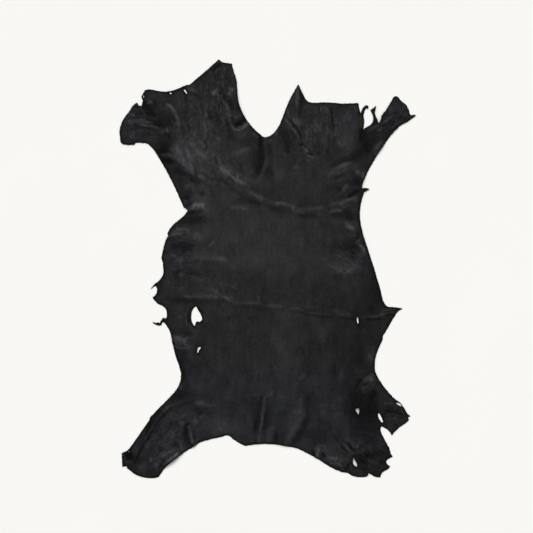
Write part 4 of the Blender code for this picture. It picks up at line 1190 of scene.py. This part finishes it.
def hide_mesh():
    """The hide as one closed sheet: grain side, flesh side and the raw edge between them."""
    loops = rims()
    knots, faces = filled(loops)
    used, faces = np.unique(faces, return_inverse=True)
    knots, faces = knots[used], faces.reshape(-1, 3)
    to_rim = rim_distance(knots, loops)
    flesh = np.column_stack((knots, underside(knots)))
    thickness = THICKNESS * (1 - THINNER_RIM * np.exp(-to_rim / RIM_TAPER))
    grain = flesh + point_normals(flesh, faces) * thickness[:, None]
    count = len(flesh)
    raw = open_edges(faces)
    sides = np.column_stack((raw[:, 0], raw[:, 1], raw[:, 1] + count, raw[:, 0] + count))
    mesh = bpy.data.meshes.new("hide_leather")
    quads_and_triangles = (faces + count).tolist() + faces[:, ::-1].tolist() + sides.tolist()
    mesh.from_pydata(np.concatenate((flesh, grain)).tolist(), [], quads_and_triangles)
    for material in (grain_material(), flesh_material(), edge_material()):
        mesh.materials.append(material)
    mesh.polygons.foreach_set("material_index", np.repeat((0, 1, 2), (len(faces), len(faces), len(sides))))
    values = {"burnish": burnish(knots, to_rim), "painted_cool_reflection": painted_cool_reflection(knots)}
    values.update(zip(LINE_WAYS, lie(knots)))
    for name, value in values.items():
        attribute = mesh.attributes.new(name, "FLOAT", "POINT")
        attribute.data.foreach_set("value", np.tile(value, 2).astype(np.float32))
    mesh.shade_smooth()
    mesh.set_sharp_from_angle(angle=SMOOTH_ANGLE)
    return mesh


def build_hide():
    hide = bpy.data.objects.new("black_hide", hide_mesh())
    bpy.context.scene.collection.objects.link(hide)
    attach(hide, "root")
    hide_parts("hide")


class Shading:
    """A material's node tree with short ways to add and join its nodes."""

    def __init__(self, name):
        self.material = bpy.data.materials.new(name)
        self.material.use_nodes = True
        self.tree = self.material.node_tree
        self.shader = self.tree.nodes["Principled BSDF"]
        self.places = self.add("ShaderNodeTexCoord").outputs["Object"]

    def put(self, socket, value):
        """Join the socket to another one, or set it to a constant."""
        if isinstance(value, bpy.types.NodeSocket):
            self.tree.links.new(value, socket)
        else:
            socket.default_value = value

    def put_all(self, node, values):
        for key, value in values.items():
            self.put(node.inputs[key.replace("_", " ")], value)

    def add(self, kind, settings=None, **values):
        """A node with its settings, and with its sockets set or joined by name."""
        node = self.tree.nodes.new(kind)
        for key, value in (settings or {}).items():
            setattr(node, key, value)
        self.put_all(node, values)
        return node

    def math(self, operation, *values):
        node = self.add("ShaderNodeMath", {"operation": operation})
        for socket, value in zip(node.inputs, values):
            self.put(socket, value)
        return node.outputs[0]

    def plus(self, base, pattern, amount, rest=0.5):
        """The base, and so much of how far the pattern is from its rest."""
        return self.math("MULTIPLY_ADD", self.math("SUBTRACT", pattern, rest), amount, base)

    def value(self, attribute):
        return self.add("ShaderNodeAttribute", {"attribute_name": attribute}).outputs["Fac"]

    def stretched(self, size, turn=0):
        """Places in units of the pattern's size, along axes turned clockwise by some degrees."""
        scale = tuple(side * MM for side in size)
        node = self.add("ShaderNodeMapping", {"vector_type": "TEXTURE"}, Vector=self.places,
                        Rotation=(0, 0, -math.radians(turn)), Scale=scale)
        return node.outputs[0]

    def noise(self, size, detail, roughness=0.55, turn=0):
        """Noise with features about one unit of its size apart, from 0 to 1."""
        node = self.add("ShaderNodeTexNoise", Vector=self.stretched(size, turn), Scale=1.0, Detail=detail,
                        Roughness=roughness)
        return node.outputs["Fac"]

    def ridges(self, size, detail, width, turn=0):
        """Thin lines where noise crosses its middle: 0 on a line and 1 away from it."""
        away = self.math("ABSOLUTE", self.math("SUBTRACT", self.noise(size, detail, turn=turn), 0.5))
        return self.math("MINIMUM", self.math("DIVIDE", away, width), 1.0)

    def ramp(self, value, stops):
        """The colour of a tone."""
        node = self.add("ShaderNodeValToRGB", Fac=value)
        band = node.color_ramp.elements
        while len(band) < len(stops):
            band.new(0.5)
        for element, (place, colour) in zip(band, stops):
            element.position = place
            element.color = (*colour, 1.0)
        return node.outputs["Color"]

    def span(self, value, low, high, to_low, to_high):
        """The value's range from low to high, spread from to_low to to_high."""
        node = self.add("ShaderNodeMapRange", {"clamp": True}, Value=value, From_Min=low, From_Max=high,
                        To_Min=to_low, To_Max=to_high)
        return node.outputs["Result"]

    def raise_by(self, height, depth, strength, **below):
        """A bump so many millimetres deep, on the one below it if there is one."""
        node = self.add("ShaderNodeBump", Strength=strength, Distance=depth * MM, Height=height, **below)
        return node.outputs["Normal"]

    def finished(self, **values):
        """The material, with its shader's sockets set or joined by name."""
        self.put_all(self.shader, values)
        return self.material


def pebbles(s):
    """The grain's pebbles: 0 in the fine grooves between them and 1 on their tops."""
    warp = s.add("ShaderNodeTexNoise", Vector=s.stretched(WARP), Scale=1.0, Detail=2.0).outputs["Color"]
    bent = s.add("ShaderNodeVectorMath", {"operation": "MULTIPLY_ADD"})
    for socket, value in zip(bent.inputs, (warp, (WARPED,) * 3, s.stretched(PEBBLES))):
        s.put(socket, value)
    cells = s.add("ShaderNodeTexVoronoi", {"feature": "DISTANCE_TO_EDGE"}, Vector=bent.outputs[0], Scale=1.0)
    return s.span(cells.outputs["Distance"], 0.0, PEBBLE_GROOVE, to_low=0.0, to_high=1.0)


def fine_lines(s):
    """Hair-fine grooves, from 0 down, and softer crinkles about 0, both along the wrinkles round them."""
    grooves = crinkles = 0.0
    for name, turn in LINE_WAYS.items():
        amount = s.value(name)
        net = s.ridges(LINE_NET, detail=4.0, width=0.09, turn=turn)
        grooves = s.plus(grooves, net, amount, rest=1.0)
        crinkles = s.plus(crinkles, s.noise(CRINKLES, detail=2.0, turn=turn), amount)
    return grooves, crinkles


def grain_material():
    """Dyed and finished grain: pebbles, pores and hair-fine wrinkles, darker and duller between the pebbles,
    with painted shade in the hair-fine grooves, painted light and shade on the crinkles, and the painted
    light and shade of the creases and broad areas.
    """
    s = Shading("black grain leather")
    pebble = pebbles(s)
    grooves, crinkles = fine_lines(s)
    specks = s.noise(SPECKS, detail=3.0, roughness=0.65)

    # The tone starts from the painted light and shade, which also sets the gloss
    tone = s.math("MULTIPLY_ADD", s.value("burnish"), PAINTED_LIGHT_SHADE_TONE, MIDDLE_TONE)
    tone = s.plus(tone, s.noise(MOTTLE, detail=4.0, roughness=0.62), amount=0.5)
    tone = s.plus(tone, s.noise(STREAKS, detail=4.0, roughness=0.65), amount=0.24)
    tone = s.plus(tone, specks, amount=0.34)
    tone = s.plus(tone, pebble, amount=0.10, rest=0.6)
    # Painted shade in the hair-fine grooves, and painted light and shade on the crinkles
    tone = s.math("MULTIPLY_ADD", grooves, FINE_GROOVE_PAINTED_SHADE, tone)
    tone = s.math("ADD", crinkles, tone)
    # The colour, with the painted cool tint of reflected light mixed in
    colour = s.add("ShaderNodeMix", {"data_type": "RGBA"})
    for key, value in ((0, s.value("painted_cool_reflection")), (6, s.ramp(tone, NEUTRAL_DYE)), (7, s.ramp(tone, COOL_REFLECTION_DYE))):
        s.put(colour.inputs[key], value)
    dull = s.plus(s.span(tone, 0.0, 1.0, to_low=0.46, to_high=0.30), specks, amount=0.16)

    long_wrinkles = s.ridges(LONG_WRINKLES, detail=4.0, width=0.10)
    short_wrinkles = s.ridges(SHORT_WRINKLES, detail=3.0, width=0.16)
    wrinkled = s.math("MULTIPLY", long_wrinkles, short_wrinkles)
    lined = s.math("MULTIPLY_ADD", crinkles, CRINKLE_RELIEF, grooves)
    normal = s.raise_by(s.noise(PORES, detail=2.0), depth=0.05, strength=0.3)
    normal = s.raise_by(pebble, depth=0.08, strength=0.45, Normal=normal)
    normal = s.raise_by(wrinkled, depth=0.16, strength=0.4, Normal=normal)
    normal = s.raise_by(lined, depth=0.55, strength=0.8, Normal=normal)
    normal = s.raise_by(s.noise(SOFT_LUMPS, detail=2.0), depth=0.9, strength=0.6, Normal=normal)
    return s.finished(Base_Color=colour.outputs[2], Roughness=dull, Specular_IOR_Level=0.11, Normal=normal)


def flesh_material():
    """The suede underside: a dark nap with lighter brushed streaks and veins."""
    s = Shading("charcoal suede flesh side")
    nap = s.noise(NAP, detail=3.0, roughness=0.7)
    brushed = s.noise(BRUSHED, detail=4.0, roughness=0.65)
    tone = s.math("MULTIPLY_ADD", nap, NAP_SHARE, s.math("MULTIPLY", brushed, 1 - NAP_SHARE))
    tone = s.plus(tone, s.ridges(VEINS, detail=3.0, width=0.05), amount=0.12, rest=1.0)
    dull = s.span(nap, 0.3, 0.7, to_low=0.98, to_high=0.86)
    return s.finished(Base_Color=s.ramp(tone, SUEDE), Roughness=dull, Specular_IOR_Level=0.2,
                      Sheen_Weight=0.35, Sheen_Roughness=0.5,
                      Normal=s.raise_by(nap, depth=0.35, strength=0.8))


def edge_material():
    """The raw cut edge: dyed through, with short fibres along it."""
    s = Shading("raw leather edge")
    fibres = s.noise(FIBRES, detail=3.0, roughness=0.7)
    dull = s.span(fibres, 0.3, 0.7, to_low=0.95, to_high=0.8)
    return s.finished(Base_Color=s.ramp(fibres, CUT_EDGE), Roughness=dull, Specular_IOR_Level=0.3,
                      Normal=s.raise_by(fibres, depth=0.15, strength=0.8))


def floor_material():
    s = Shading("pale floor")
    colour = s.ramp(s.noise(FLOOR_GRAIN, detail=2.0), PALE_FLOOR)
    return s.finished(Base_Color=colour, Roughness=0.9, Specular_IOR_Level=0.1)


def build_floor():
    mesh = bpy.data.meshes.new("floor")
    half = FLOOR_SIZE / 2
    corners = [(-half, -half), (half, -half), (half, half), (-half, half)]
    mesh.from_pydata([(x, y, -FLOOR_GAP) for x, y in corners], [], [(0, 1, 2, 3)])
    mesh.materials.append(floor_material())
    floor = bpy.data.objects.new("floor", mesh)
    bpy.context.scene.collection.objects.link(floor)


def build_camera():
    data = bpy.data.cameras.new("camera")
    data.lens = LENS
    data.sensor_width = SENSOR
    camera = bpy.data.objects.new("camera", data)
    camera.location = (CAMERA_X, CAMERA_Y, VIEW_WIDTH * LENS / SENSOR)
    bpy.context.scene.collection.objects.link(camera)
    bpy.context.scene.camera = camera


def build_lights():
    for light in LIGHTS:
        data = bpy.data.lights.new(light.name, "SUN")
        data.energy = light.strength
        data.angle = math.radians(light.spread)
        lamp = bpy.data.objects.new(light.name, data)
        lamp.rotation_euler = (math.radians(light.elevation - 90), 0, math.radians(-light.compass))
        bpy.context.scene.collection.objects.link(lamp)
    world = bpy.data.worlds.new("room")
    world.use_nodes = True
    background = world.node_tree.nodes["Background"]
    background.inputs["Color"].default_value = (1.0, 1.0, 1.0, 1.0)
    background.inputs["Strength"].default_value = ROOM_LIGHT
    bpy.context.scene.world = world
    bpy.context.scene.view_settings.view_transform = "Standard"


build_camera()
build_lights()
build_floor()
build_hide()
